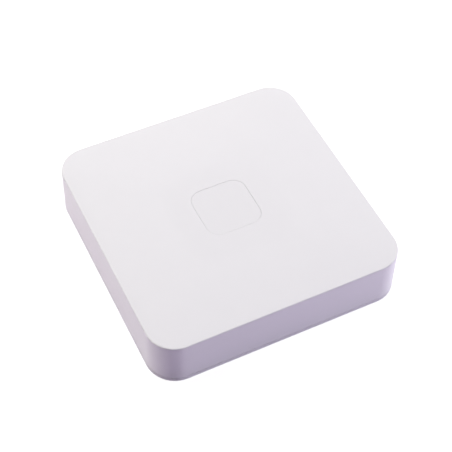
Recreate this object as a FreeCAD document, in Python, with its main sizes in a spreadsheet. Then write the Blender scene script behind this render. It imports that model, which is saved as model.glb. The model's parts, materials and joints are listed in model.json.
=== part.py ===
"""A square smart-home hub: a drafted white cover over a base tray, with a light-through window in the
top, two sockets, a pairing button and a reset hole in the rear wall, and the circuit board inside.

Sizes are in millimetres. X runs across the hub, +Y points at its rear wall and Z is up. The origin lies
under the middle of the hub, on the surface that its rubber feet stand on.
"""

import FreeCAD
import Part

import math
import operator
import os
from types import SimpleNamespace

import Sketcher
from FreeCAD import Vector

DRIVING_SIZES = {
    # Housing
    "housing_width": 127.0,
    "housing_depth": 127.0,
    "housing_height": 25.9,
    "corner_radius": 14.4,
    "draft_angle": 1.0,
    "wall": 2.2,
    "top_wall": 2.4,
    "top_edge_radius": 0.6,
    "seam_gap": 0.3,
    "rib_thickness": 1.2,
    "rib_depth": 1.2,
    # Base tray
    "base_floor": 2.2,
    "base_edge_chamfer": 0.3,
    "lip_height": 3.0,
    "lip_thickness": 1.4,
    "lip_clearance": 0.2,
    # Rubber feet
    "foot_inset": 14.2,
    "foot_stand": 0.5,
    "foot_radius": 6.0,
    "foot_seat_depth": 0.8,
    "foot_clearance": 0.15,
    # Screws that hold the cover down, and their bosses
    "boss_inset": 9.5,
    "boss_offset_y": 28.0,
    "boss_radius": 3.6,
    "boss_pad_margin": 1.0,
    "boss_pad_height": 2.0,
    "case_screw_radius": 1.2,
    "case_screw_length": 10.0,
    "case_head_radius": 2.5,
    "case_head_height": 1.6,
    "case_head_cover": 0.9,
    "screw_clearance": 0.3,
    "pilot_clearance": 0.05,
    "pilot_spare_depth": 1.0,
    # Tongues on the tray's front lip that hook into the cover
    "tongue_offset_x": 30.0,
    "tongue_width": 12.0,
    "tongue_height": 1.2,
    "tongue_rise": 1.0,
    "tongue_reach": 1.0,
    "tongue_clearance": 0.3,
    # Ventilation slots and keyholes in the tray's floor
    "vent_count": 7,
    "vent_pitch": 7.0,
    "vent_width": 2.2,
    "vent_length": 22.0,
    "vent_offset_y": 30.0,
    "keyhole_offset_x": 40.0,
    "keyhole_radius": 4.0,
    "keyhole_slot_width": 4.2,
    "keyhole_slot_length": 9.0,
    # Circuit board
    "board_side_gap": 14.5,
    "board_front_gap": 17.5,
    "board_rear_gap": 6.0,
    "board_thickness": 1.6,
    "board_corner": 3.0,
    "standoff_height": 2.6,
    "standoff_radius": 3.0,
    "standoff_inset_x": 6.0,
    "standoff_inset_y": 8.5,
    "board_screw_radius": 1.1,
    "board_screw_length": 4.2,
    "board_head_radius": 2.2,
    "board_head_height": 1.4,
    # Status window and light guide
    "window_size": 28.0,
    "window_corner": 6.5,
    "window_thickness": 1.2,
    "window_recess": 0.05,
    "window_ledge": 2.0,
    "window_clearance": 0.1,
    "guide_wall": 1.0,
    "guide_corner": 3.0,
    "guide_gap": 0.2,
    "guide_frame_clearance": 0.3,
    "guide_frame_depth": 2.4,
    "led_spread": 4.5,
    "led_size": 2.8,
    "led_height": 0.9,
    "led_lens_inset": 0.5,
    "led_lens_height": 0.5,
    # Sockets in the rear wall
    "power_inset": 15.0,
    "port_pitch": 22.0,
    "port_setback": 0.7,
    "port_clearance": 0.25,
    "press_clearance": 0.05,
    # Network jack
    "jack_width": 16.0,
    "jack_height": 12.4,
    "jack_depth": 18.5,
    "jack_sheet": 0.25,
    "jack_frame": 1.0,
    "plug_width": 11.9,
    "plug_height": 6.8,
    "plug_depth": 13.5,
    "latch_width": 6.4,
    "latch_height": 3.0,
    "latch_floor": 1.2,
    "contact_count": 8,
    "contact_pitch": 1.02,
    "contact_wire": 0.4,
    "contact_setback": 2.0,
    "contact_run": 7.5,
    "contact_drop": 2.2,
    "lamp_width": 2.6,
    "lamp_height": 1.8,
    "lamp_depth": 3.0,
    # Power jack
    "power_width": 9.0,
    "power_height": 11.0,
    "power_depth": 14.2,
    "power_flange": 3.4,
    "power_step": 0.7,
    "power_axis_height": 6.2,
    "barrel_radius": 3.15,
    "barrel_depth": 10.0,
    "power_pin_radius": 1.0,
    "power_pin_setback": 0.8,
    "power_pin_root": 2.0,
    "power_pin_root_radius": 1.5,
    "leaf_width": 2.4,
    "leaf_thickness": 0.3,
    "leaf_rise": 0.5,
    "leaf_clearance": 0.1,
    # Pairing button, reset hole and the switches behind them
    "button_inset": 19.0,
    "reset_spacing": 16.0,
    "button_radius": 3.0,
    "button_clearance": 0.2,
    "button_shyness": 0.05,
    "button_flange_radius": 4.1,
    "button_flange": 1.1,
    "button_wall_gap": 0.1,
    "button_stem_radius": 1.5,
    "button_stem_gap": 0.05,
    "button_edge_radius": 0.4,
    "reset_hole_radius": 1.0,
    "switch_setback": 1.0,
    "switch_axis_height": 4.0,
    "switch_size": 6.0,
    "switch_depth": 3.5,
    "bracket_sheet": 0.3,
    "bracket_leg": 1.2,
    "plunger_radius": 1.7,
    "plunger_stand": 2.2,
    "plunger_inside": 1.6,
    "plunger_travel": 0.25,
    "plunger_clearance": 0.06,
    # Parts on the circuit board
    "part_gap": 4.0,
    "chip_corner": 0.8,
    "processor_size": 14.0,
    "processor_height": 1.2,
    "memory_length": 9.0,
    "flash_size": 6.0,
    "shield_width": 22.0,
    "shield_length": 36.0,
    "shield_height": 3.0,
    "shield_sheet": 0.3,
    "shield_corner": 0.8,
    "radio_board_width": 18.0,
    "radio_board_length": 27.0,
    "radio_board_thickness": 1.0,
    "radio_spacing": 34.0,
    "radio_shield_length": 16.0,
    "radio_shield_height": 2.2,
    "radio_rim": 1.0,
    "antenna_width": 5.0,
    "antenna_sheet": 0.4,
    "antenna_leg": 2.0,
    "mesh_antenna_length": 13.0,
    "mesh_antenna_height": 4.5,
    "sensor_antenna_length": 17.0,
    "sensor_antenna_height": 8.0,
    "transformer_width": 14.0,
    "transformer_length": 9.5,
    "transformer_height": 5.6,
    "transformer_leg_count": 6,
    "transformer_leg_pitch": 2.0,
    "transformer_leg_width": 0.5,
    "transformer_leg_reach": 1.6,
    "capacitor_radius": 4.0,
    "capacitor_height": 9.0,
    "inductor_size": 7.3,
    "inductor_height": 4.2,
    "regulator_width": 6.0,
    "regulator_length": 6.2,
    "regulator_height": 2.2,
    "crystal_width": 4.6,
    "crystal_length": 11.0,
    "crystal_height": 3.4,
    "passive_count": 8,
    "passive_rows": 2,
    "passive_pitch": 3.4,
    "passive_length": 1.6,
    "passive_width": 0.8,
    "passive_height": 0.6,
}

ALL_CORNERS = [(1, 1), (-1, 1), (-1, -1), (1, -1)]
SIDES = (-1, 1)
HIDDEN_OVERLAP = 0.5  # how far a rib or a boss runs into the wall that carries it
CUT_MARGIN = 1.0  # how far a cut starts or ends outside the material

SIGNS = {"+": operator.add, "-": operator.sub, "*": operator.mul, "/": operator.truediv}


class Size:
    """A length, an angle or a count, as a number and as the sheet expression that gives it."""

    def __init__(self, number, text=None):
        self.number = number
        self.text = text or f"({number})"

    def __float__(self):
        return float(self.number)

    def __neg__(self):
        return join(0, "-", self)

    def __add__(self, other):
        return join(self, "+", other)

    def __radd__(self, other):
        return join(other, "+", self)

    def __sub__(self, other):
        return join(self, "-", other)

    def __rsub__(self, other):
        return join(other, "-", self)

    def __mul__(self, other):
        return join(self, "*", other)

    def __rmul__(self, other):
        return join(other, "*", self)

    def __truediv__(self, other):
        return join(self, "/", other)


def as_size(amount):
    return amount if isinstance(amount, Size) else Size(amount)


def join(first, sign, second):
    first, second = as_size(first), as_size(second)
    number = SIGNS[sign](first.number, second.number)
    return Size(number, f"({first.text} {sign} {second.text})")


def tangent(angle):
    return Size(math.tan(math.radians(float(angle))), f"tan({angle.text})")


def fill_sheet(sheet):
    """Writes the driving sizes, one to a row, and hands them back by name."""
    for row, (name, number) in enumerate(DRIVING_SIZES.items(), start=1):
        sheet.set(f"A{row}", name)
        sheet.set(f"B{row}", str(number))
        sheet.setAlias(f"B{row}", name)
    doc.recompute()
    return {name: Size(sheet.get(name), f"Sizes.{name}") for name in DRIVING_SIZES}


doc = FreeCAD.newDocument("smart_hub")
at = SimpleNamespace(**fill_sheet(doc.addObject("Spreadsheet::Sheet", "Sizes")))

# Levels, from the table up
rim_top = at.foot_stand + at.base_floor
seam_top = rim_top + at.seam_gap
housing_top = at.foot_stand + at.housing_height
ceiling = housing_top - at.top_wall
lip_top = rim_top + at.lip_height
boss_seat = rim_top + at.boss_pad_height
tongue_bottom = rim_top + at.tongue_rise
case_head_seat = at.foot_stand + at.case_head_cover + at.case_head_height
board_bottom = rim_top + at.standoff_height
board_top = board_bottom + at.board_thickness
window_seat = housing_top - at.window_recess - at.window_thickness
switch_axis = board_top + at.switch_axis_height

# Distances from the middle of the hub
half_width = at.housing_width / 2
half_depth = at.housing_depth / 2
boss_x = half_width - at.boss_inset
tongue_y = -(half_depth - at.wall - at.lip_clearance + at.tongue_reach)
foot_x = half_width - at.foot_inset
foot_y = half_depth - at.foot_inset
board_side = half_width - at.board_side_gap
board_front = at.board_front_gap - half_depth
board_rear = half_depth - at.board_rear_gap
standoff_x = board_side - at.standoff_inset_x
standoff_ys = (board_front + at.standoff_inset_y, board_rear - at.standoff_inset_y)
port_face = half_depth - at.port_setback
power_x = board_side - at.power_inset
jack_x = power_x - at.port_pitch
button_x = at.button_inset - board_side
reset_x = button_x + at.reset_spacing
radio_x = at.board_head_radius + at.part_gap / 2 + at.radio_board_width / 2 - standoff_x
switch_front = board_rear - at.switch_setback
bracket_front = switch_front + at.bracket_sheet
plunger_tip = bracket_front + at.plunger_stand
jack_rear = port_face - at.jack_depth

# Sizes that several pieces share
cover_height = housing_top - seam_top
draft_run = cover_height * tangent(at.draft_angle)
window_opening = at.window_size - 2 * at.window_ledge
guide_width = window_opening + 2 * at.guide_wall
plug_bottom = at.latch_floor + at.latch_height
lamp_x = at.jack_width / 4 + at.latch_width / 4
lamp_z = at.latch_floor + at.lamp_height / 2
leaf_floor = at.power_axis_height - at.barrel_radius - at.leaf_thickness - at.leaf_clearance


# Drawing and feature helpers


def vector(x, y, z=0):
    return Vector(float(x), float(y), float(z))


def bind(thing, path, size):
    thing.setExpression(path, as_size(size).text)


def place(thing, x=0, y=0, z=0):
    """Puts the origin of a piece at a point of the hub."""
    for axis, distance in zip("xyz", (x, y, z)):
        bind(thing, f"Placement.Base.{axis}", distance)


def new_body(label, group=False):
    """A piece of its own, or a group of equal separate solids."""
    body = doc.addObject("PartDesign::Body", label)
    body.Label = label
    body.AllowCompound = group
    return body


def origin_part(body, role):
    return next(item for item in body.Origin.OriginFeatures if item.Role == role)


def sketch_on(body, plane, x=0, y=0, z=0):
    """A sketch on a plane through a point of the body, with that point as the sketch's origin.

    Plane "XY" looks along +Z, "XZ" along -Y and "YZ" along +X.
    """
    sketch = body.newObject("Sketcher::SketchObject", "profile")
    sketch.AttachmentSupport = [(origin_part(body, f"{plane}_Plane"), "")]
    sketch.MapMode = "FlatFace"
    offsets = {"XY": (x, y, z), "XZ": (x, z, -as_size(y)), "YZ": (y, z, x)}[plane]
    for axis, offset in zip("xyz", offsets):
        bind(sketch, f"AttachmentOffset.Base.{axis}", offset)
    return sketch


def constrain(sketch, *terms, size=None):
    """Adds a constraint, which a size drives where one is given."""
    if size is None:
        sketch.addConstraint(Sketcher.Constraint(*terms))
        return
    index = sketch.addConstraint(Sketcher.Constraint(*terms, float(size)))
    sketch.setExpression(f"Constraints[{index}]", as_size(size).text)


def pin_point(sketch, curve, end, x, y):
    """Holds an end (1 or 2) or the centre (3) of a curve at a point."""
    constrain(sketch, "DistanceX", -1, 1, curve, end, size=x)
    constrain(sketch, "DistanceY", -1, 1, curve, end, size=y)


def polygon(sketch, points):
    spots = [vector(x, y) for x, y in points]
    first = sketch.GeometryCount
    for start, end in zip(spots, spots[1:] + spots[:1]):
        sketch.addGeometry(Part.LineSegment(start, end), False)
    for i, (x, y) in enumerate(points):
        constrain(sketch, "Coincident", first + i, 2, first + (i + 1) % len(points), 1)
        pin_point(sketch, first + i, 1, x, y)


def rectangle(sketch, left, right, bottom, top):
    polygon(sketch, [(left, bottom), (right, bottom), (right, top), (left, top)])


def block(sketch, width, height, x=0, y=0):
    """A rectangle about a centre."""
    rectangle(sketch, x - width / 2, x + width / 2, y - height / 2, y + height / 2)


def cut_corner_block(sketch, width, height, cut, x=0, y=0):
    """A rectangle about a centre, with its corners cut off at 45 degrees."""
    across, along = width / 2, height / 2
    corners = [(across, along - cut), (across - cut, along)]
    ring = [(side_x * px, side_y * py) for side_x, side_y in ALL_CORNERS for px, py in corners]
    for second_of_pair in (2, 6):
        ring[second_of_pair], ring[second_of_pair + 1] = ring[second_of_pair + 1], ring[second_of_pair]
    polygon(sketch, [(x + px, y + py) for px, py in ring])


def circle(sketch, radius, x=0, y=0):
    curve = sketch.addGeometry(Part.Circle(vector(x, y), Vector(0, 0, 1), float(radius)), False)
    pin_point(sketch, curve, 3, x, y)
    constrain(sketch, "Radius", curve, size=radius)


def faceted_circle(sketch, radius, sides):
    """A regular polygon inside a circle, for round things that repeat out of sight."""
    turns = [2 * math.pi * (i + 0.5) / sides for i in range(sides)]
    polygon(sketch, [(radius * math.cos(turn), radius * math.sin(turn)) for turn in turns])


def arc(sketch, centre, radius, start, sweep):
    """A stretch of a circle, from a start angle on, with both angles in quarter turns."""
    ring = Part.Circle(centre, Vector(0, 0, 1), float(radius))
    begin = start * math.pi / 2
    return sketch.addGeometry(Part.ArcOfCircle(ring, begin, begin + sweep * math.pi / 2), False)


def rounded_rectangle(sketch, width, depth, radius, x=0, y=0):
    """A rectangle about a centre, with corners that are tangent quarter circles."""
    reach_x, reach_y = width / 2 - radius, depth / 2 - radius
    first = sketch.GeometryCount
    for turn, (side_x, side_y) in enumerate(ALL_CORNERS):
        arc(sketch, vector(x + side_x * reach_x, y + side_y * reach_y), radius, turn, 1)
    corners = [sketch.Geometry[first + turn] for turn in range(4)]
    for turn in range(4):
        end_of_arc, start_of_next = corners[turn].EndPoint, corners[(turn + 1) % 4].StartPoint
        sketch.addGeometry(Part.LineSegment(end_of_arc, start_of_next), False)
    for turn in range(4):
        line = first + 4 + turn
        constrain(sketch, "Tangent", first + turn, 2, line, 1)
        constrain(sketch, "Tangent", line, 2, first + (turn + 1) % 4, 1)
        constrain(sketch, "Horizontal" if turn % 2 == 0 else "Vertical", line)
    for turn in (1, 2, 3):
        constrain(sketch, "Equal", first, first + turn)
    constrain(sketch, "Radius", first, size=radius)
    pin_point(sketch, first, 3, x + reach_x, y + reach_y)
    pin_point(sketch, first + 2, 3, x - reach_x, y - reach_y)


def slot(sketch, length, width, x=0, y=0):
    """A slot along the sketch's Y direction, with an overall length, about a centre."""
    radius = width / 2
    reach = length / 2 - radius
    left, right, low, high = x - radius, x + radius, y - reach, y + reach
    first = sketch.GeometryCount
    arc(sketch, vector(x, high), radius, 0, 2)
    sketch.addGeometry(Part.LineSegment(vector(left, high), vector(left, low)), False)
    arc(sketch, vector(x, low), radius, 2, 2)
    sketch.addGeometry(Part.LineSegment(vector(right, low), vector(right, high)), False)
    for i in range(4):
        constrain(sketch, "Tangent", first + i, 2, first + (i + 1) % 4, 1)
    constrain(sketch, "Radius", first, size=radius)
    pin_point(sketch, first, 3, x, y + reach)
    pin_point(sketch, first + 2, 3, x, y - reach)


def feature(body, kind, **settings):
    item = body.newObject(f"PartDesign::{kind}", kind.lower())
    for name, setting in settings.items():
        setattr(item, name, setting)
    return item


def extrude(kind, sketch, length, flip, taper):
    item = feature(sketch.getParentGeoFeatureGroup(), kind, Profile=sketch, Reversed=flip)
    bind(item, "Length", length)
    if taper is not None:
        bind(item, "TaperAngle", taper)
    return item


def pad(sketch, length, flip=False, taper=None):
    """Adds material the way the sketch looks: +Z, -Y or +X, or the opposite way when flipped."""
    return extrude("Pad", sketch, length, flip, taper)


def pocket(sketch, length, flip=False, taper=None):
    """Cuts against the way the sketch looks: -Z, +Y or -X, or the opposite way when flipped."""
    return extrude("Pocket", sketch, length, flip, taper)


def revolve(sketch):
    """Turns a sketch about its own vertical axis."""
    item = feature(sketch.getParentGeoFeatureGroup(), "Revolution", Profile=sketch)
    item.ReferenceAxis = (sketch, ["V_Axis"])
    item.Angle = 360
    return item


def edges_at_height(item, height):
    """The names of the edges of a feature that lie flat at a height."""
    doc.recompute()
    level = float(height)
    return [
        f"Edge{number}"
        for number, edge in enumerate(item.Shape.Edges, start=1)
        if abs(edge.BoundBox.ZMin - level) < 1e-4 and abs(edge.BoundBox.ZMax - level) < 1e-4
    ]


def soften(kind, measure, item, edges, size):
    """Rounds or bevels edges of a feature."""
    softened = feature(item.getParentGeoFeatureGroup(), kind, Base=(item, edges))
    bind(softened, measure, size)


def repeat(body, kind, originals, **settings):
    """Repeats features of a body, or the whole body where none are named."""
    if originals:
        settings["Originals"] = originals
    else:
        doc.recompute()
        settings["TransformMode"] = "Whole shape"
    item = feature(body, kind, **settings)
    body.Tip = item
    return item


def row(body, axis, spacing, count, originals=None):
    """Copies in a straight row along an axis of the body."""
    direction = (origin_part(body, f"{axis}_Axis"), [""])
    item = repeat(body, "LinearPattern", originals, Direction=direction, Mode="Spacing")
    bind(item, "Offset", spacing)
    bind(item, "Occurrences", count)
    return item


def row_start(spacing, count):
    """Where the first copy stands when the middle of the row is the body's origin."""
    return -spacing * (count - 1) / 2


def mirror(body, plane, originals=None):
    """A mirror image in a plane through the body's origin."""
    mirror_plane = (origin_part(body, f"{plane}_Plane"), [""])
    return repeat(body, "Mirrored", originals, MirrorPlane=mirror_plane)


# Housing


def make_top_cover():
    """The drafted white cover: a shell with a window seat, bosses, ribs, pockets and rear cut-outs."""
    body = new_body("top_cover")
    outline = sketch_on(body, "XY", z=seam_top)
    rounded_rectangle(outline, at.housing_width, at.housing_depth, at.corner_radius)
    shell = pad(outline, cover_height, taper=-at.draft_angle)
    soften("Fillet", "Radius", shell, edges_at_height(shell, housing_top), at.top_edge_radius)
    hollow = sketch_on(body, "XY", z=seam_top)
    inner_width, inner_depth = at.housing_width - 2 * at.wall, at.housing_depth - 2 * at.wall
    rounded_rectangle(hollow, inner_width, inner_depth, at.corner_radius - at.wall)
    pocket(hollow, cover_height - at.top_wall, flip=True, taper=-at.draft_angle)

    add_screw_bosses(body)
    add_ceiling_ribs(body)
    cut_tongue_pockets(body)
    cut_window_opening(body)
    cut_rear_openings(body)
    return body


def add_screw_bosses(body):
    """Two bosses that hang from the ceiling near the rear, each tied to its side wall by a gusset."""
    bosses = sketch_on(body, "XY", z=boss_seat)
    gussets = sketch_on(body, "XY", z=lip_top + HIDDEN_OVERLAP)
    pilots = sketch_on(body, "XY", z=boss_seat)
    wall_middle = half_width - draft_run - at.wall / 2
    for side in SIDES:
        across = 2 * at.boss_radius
        cut_corner_block(bosses, across, across, at.boss_radius / 2, side * boss_x, at.boss_offset_y)
        middle, length = (boss_x + wall_middle) / 2, wall_middle - boss_x
        block(gussets, length, at.rib_thickness, side * middle, at.boss_offset_y)
        circle(pilots, at.case_screw_radius + at.pilot_clearance, side * boss_x, at.boss_offset_y)
    pad(bosses, ceiling - boss_seat + HIDDEN_OVERLAP)
    pad(gussets, ceiling - lip_top)
    reach = case_head_seat + at.case_screw_length - boss_seat
    pocket(pilots, reach + at.pilot_spare_depth, flip=True)


def add_ceiling_ribs(body):
    """A square frame that holds the head of the light guide, and a rib from it to each wall."""
    frame = sketch_on(body, "XY", z=ceiling - at.guide_frame_depth)
    inner = guide_width + 2 * at.guide_frame_clearance
    outer = inner + 2 * at.rib_thickness
    for across in (inner, outer):
        cut_corner_block(frame, across, across, at.guide_corner)
    pad(frame, at.guide_frame_depth + HIDDEN_OVERLAP)
    ribs = sketch_on(body, "XY", z=ceiling - at.rib_depth)
    start = outer / 2 - HIDDEN_OVERLAP
    for side in SIDES:
        end_x = half_width - draft_run - at.wall / 2
        end_y = half_depth - draft_run - at.wall / 2
        block(ribs, end_x - start, at.rib_thickness, side * (start + end_x) / 2, 0)
        block(ribs, at.rib_thickness, end_y - start, 0, side * (start + end_y) / 2)
    pad(ribs, at.rib_depth + HIDDEN_OVERLAP)


def cut_tongue_pockets(body):
    """Pockets inside the front wall, which the tray's tongues hook into."""
    gap = at.tongue_clearance
    pockets = sketch_on(body, "XY", z=tongue_bottom - gap)
    inner = -(half_depth - at.wall - at.lip_clearance)
    for side in SIDES:
        middle, reach = side * at.tongue_offset_x, at.tongue_width / 2 + gap
        rectangle(pockets, middle - reach, middle + reach, tongue_y - gap, inner)
    pocket(pockets, at.tongue_height + 2 * gap, flip=True)


def cut_window_opening(body):
    """A seat that the window drops into, and the smaller opening that its light comes through."""
    seat = sketch_on(body, "XY", z=housing_top)
    across = at.window_size + 2 * at.window_clearance
    rounded_rectangle(seat, across, across, at.window_corner + at.window_clearance)
    pocket(seat, housing_top - window_seat)
    opening = sketch_on(body, "XY", z=window_seat)
    radius = at.window_corner - at.window_ledge
    rounded_rectangle(opening, window_opening, window_opening, radius)
    pocket(opening, window_seat - ceiling + CUT_MARGIN)


def cut_rear_openings(body):
    """Notches that drop over the two sockets, and round holes for the button and the reset pin."""
    through = draft_run + at.wall + CUT_MARGIN
    notches = sketch_on(body, "XZ", y=half_depth)
    sockets = [(jack_x, at.jack_width, at.jack_height), (power_x, at.power_width, at.power_height)]
    for middle, width, height in sockets:
        half = width / 2 + at.port_clearance
        top = board_top + height + at.port_clearance
        rectangle(notches, middle - half, middle + half, rim_top, top)
    pocket(notches, through, flip=True)
    holes = sketch_on(body, "XZ", y=half_depth)
    circle(holes, at.button_radius + at.button_clearance, button_x, switch_axis)
    circle(holes, at.reset_hole_radius, reset_x, switch_axis)
    pocket(holes, through, flip=True)


def make_base_tray():
    """The tray that everything stands in: rim, lip, tongues, posts, foot seats, vents and keyholes."""
    body = new_body("base_tray")
    outline = sketch_on(body, "XY", z=at.foot_stand)
    rounded_rectangle(outline, at.housing_width, at.housing_depth, at.corner_radius)
    plate = pad(outline, at.base_floor)
    soften("Chamfer", "Size", plate, edges_at_height(plate, at.foot_stand), at.base_edge_chamfer)

    outset = at.wall + at.lip_clearance
    for inset, make in ((outset, pad), (outset + at.lip_thickness, pocket)):
        lip = sketch_on(body, "XY", z=rim_top)
        width, depth = at.housing_width - 2 * inset, at.housing_depth - 2 * inset
        rounded_rectangle(lip, width, depth, at.corner_radius - inset)
        make(lip, at.lip_height, flip=make is pocket)

    add_aprons(body)
    add_tongues(body)
    add_tray_posts(body)
    cut_tray_holes(body)
    cut_vents_and_keyholes(body)
    return body


def add_aprons(body):
    """Upstands in the rear edge, which fill the cover's notches below the two sockets."""
    aprons = sketch_on(body, "XY", z=rim_top)
    inner = half_depth - at.wall - at.lip_clearance - at.lip_thickness / 2
    for middle, width in ((jack_x, at.jack_width), (power_x, at.power_width)):
        rectangle(aprons, middle - width / 2, middle + width / 2, inner, half_depth)
    pad(aprons, board_top - at.port_clearance - rim_top, taper=-at.draft_angle)


def add_tongues(body):
    """Tongues that stand out from the front lip and hold the front edge of the cover down."""
    tongues = sketch_on(body, "XY", z=tongue_bottom)
    root = tongue_y + at.tongue_reach + at.lip_thickness / 2
    for side in SIDES:
        middle = side * at.tongue_offset_x
        rectangle(tongues, middle - at.tongue_width / 2, middle + at.tongue_width / 2, tongue_y, root)
    pad(tongues, at.tongue_height)


def add_tray_posts(body):
    """Pads under the cover's bosses, and standoffs under the board's corners, two of them for screws."""
    pads = sketch_on(body, "XY", z=rim_top)
    across = 2 * (at.boss_radius + at.boss_pad_margin)
    for side in SIDES:
        cut_corner_block(pads, across, across, at.boss_radius / 2, side * boss_x, at.boss_offset_y)
    pad(pads, at.boss_pad_height)
    posts = sketch_on(body, "XY", z=rim_top)
    across = 2 * at.standoff_radius
    for side in SIDES:
        for post_y in standoff_ys:
            cut_corner_block(posts, across, across, at.standoff_radius / 2, side * standoff_x, post_y)
    pad(posts, at.standoff_height)
    pilots = sketch_on(body, "XY", z=board_bottom)
    for side, post_y in zip(SIDES, standoff_ys):
        circle(pilots, at.board_screw_radius + at.pilot_clearance, side * standoff_x, post_y)
    pocket(pilots, at.board_screw_length - at.board_thickness + at.pilot_spare_depth)


def cut_tray_holes(body):
    """Counterbored holes for the case screws, and round seats for the feet."""
    sinks = sketch_on(body, "XY", z=at.foot_stand)
    shanks = sketch_on(body, "XY", z=at.foot_stand)
    for side in SIDES:
        spot = (side * boss_x, at.boss_offset_y)
        circle(sinks, at.case_head_radius + at.screw_clearance, *spot)
        circle(shanks, at.case_screw_radius + at.screw_clearance, *spot)
    seats = sketch_on(body, "XY", z=at.foot_stand)
    for side_x, side_y in ALL_CORNERS:
        circle(seats, at.foot_radius + at.foot_clearance, side_x * foot_x, side_y * foot_y)
    pocket(sinks, case_head_seat - at.foot_stand, flip=True)
    pocket(shanks, boss_seat - at.foot_stand + CUT_MARGIN, flip=True)
    pocket(seats, at.foot_seat_depth, flip=True)


def cut_vents_and_keyholes(body):
    """Two rows of slots in the floor, and two keyholes that hang the hub on wall screws."""
    through = at.base_floor + CUT_MARGIN
    vents = sketch_on(body, "XY", x=row_start(at.vent_pitch, at.vent_count), z=at.foot_stand)
    for side in SIDES:
        vent = (at.vent_width, at.vent_length, at.vent_width / 3)
        cut_corner_block(vents, *vent, 0, side * at.vent_offset_y)
    first = pocket(vents, through, flip=True)
    row(body, "X", at.vent_pitch, at.vent_count, [first])
    for draw in (draw_keyhole_entries, draw_keyhole_slots):
        sketch = sketch_on(body, "XY", z=at.foot_stand)
        draw(sketch)
        body.Tip = pocket(sketch, through, flip=True)


def draw_keyhole_entries(sketch):
    for side in SIDES:
        circle(sketch, at.keyhole_radius, side * at.keyhole_offset_x, 0)


def draw_keyhole_slots(sketch):
    for side in SIDES:
        middle = at.keyhole_slot_length / 2
        length = at.keyhole_slot_length + at.keyhole_slot_width
        slot(sketch, length, at.keyhole_slot_width, side * at.keyhole_offset_x, middle)


def make_foot(label, x, y):
    """A rubber disc, glued into its seat in the tray."""
    body = new_body(label)
    profile = sketch_on(body, "XY")
    circle(profile, at.foot_radius)
    pad(profile, at.foot_stand + at.foot_seat_depth)
    place(body, x, y)
    return body


def screw(body, x, y, radius, length, head_radius, head_height, side):
    """One pan-head screw; its shank points up for side 1 and down for side -1."""
    head = sketch_on(body, "XY", x=x, y=y)
    faceted_circle(head, head_radius, 16)
    pad(head, head_height, flip=side > 0)
    shank = sketch_on(body, "XY", x=x, y=y, z=-side * head_height / 2)
    faceted_circle(shank, radius, 8)
    pad(shank, length + head_height / 2, flip=side < 0)


def make_case_screws():
    body = new_body("case_screws", group=True)
    head = (at.case_head_radius, at.case_head_height)
    screw(body, boss_x, at.boss_offset_y, at.case_screw_radius, at.case_screw_length, *head, 1)
    mirror(body, "YZ")
    place(body, z=case_head_seat)
    return body


def make_board_screws():
    body = new_body("board_screws", group=True)
    head = (at.board_head_radius, at.board_head_height)
    for side, post_y in zip(SIDES, standoff_ys):
        screw(body, side * standoff_x, post_y, at.board_screw_radius, at.board_screw_length, *head, -1)
    place(body, z=board_top)
    return body


def make_status_window():
    """The translucent plate in the top, which the lamps shine through."""
    body = new_body("status_window")
    plate = sketch_on(body, "XY")
    rounded_rectangle(plate, at.window_size, at.window_size, at.window_corner)
    pad(plate, at.window_thickness)
    place(body, z=window_seat)
    return body


def make_light_guide():
    """A white square tube that carries the lamps' light from the board up to the window."""
    body = new_body("light_guide")
    height = ceiling - at.guide_gap - board_top
    for inset, make in ((0, pad), (at.guide_wall, pocket)):
        outline = sketch_on(body, "XY")
        width = guide_width - 2 * inset
        cut_corner_block(outline, width, width, at.guide_corner)
        make(outline, height, flip=make is pocket)
    place(body, z=board_top)
    return body


# Circuit board and the parts on it


def make_main_board():
    body = new_body("main_board")
    outline = sketch_on(body, "XY", y=(board_front + board_rear) / 2)
    cut_corner_block(outline, 2 * board_side, board_rear - board_front, at.board_corner)
    pad(outline, at.board_thickness)
    holes = sketch_on(body, "XY")
    for side, post_y in zip(SIDES, standoff_ys):
        circle(holes, at.board_screw_radius + at.screw_clearance, side * standoff_x, post_y)
    pocket(holes, at.board_thickness, flip=True)
    place(body, z=board_bottom)
    return body


def make_status_leds():
    """Four lamps inside the light guide, each with a raised lens."""
    body = new_body("status_leds", group=True)
    package = sketch_on(body, "XY")
    block(package, at.led_size, at.led_size, at.led_spread, at.led_spread)
    pad(package, at.led_height)
    lens = sketch_on(body, "XY", z=at.led_height)
    lens_size = at.led_size - 2 * at.led_lens_inset
    block(lens, lens_size, lens_size, at.led_spread, at.led_spread)
    pad(lens, at.led_lens_height)
    mirror(body, "YZ")
    mirror(body, "XZ")
    place(body, z=board_top)
    return body


def make_chip(label, width, length, height, x, y):
    """A moulded chip, with its pin-one corner cut off."""
    body = new_body(label)
    outline = sketch_on(body, "XY")
    across, along, cut = width / 2, length / 2, at.chip_corner
    corner = [(-across, cut - along), (cut - across, -along)]
    polygon(outline, corner + [(across, -along), (across, along), (-across, along)])
    pad(outline, height)
    place(body, x, y, board_top)
    return body


def make_shield(label, width, length, height, x, y, z):
    """A folded metal can, open below."""
    body = new_body(label)
    for inset, make, depth in ((0, pad, height), (at.shield_sheet, pocket, height - at.shield_sheet)):
        outline = sketch_on(body, "XY")
        cut_corner_block(outline, width - 2 * inset, length - 2 * inset, at.shield_corner)
        make(outline, depth, flip=make is pocket)
    place(body, x, y, z)
    return body


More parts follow.
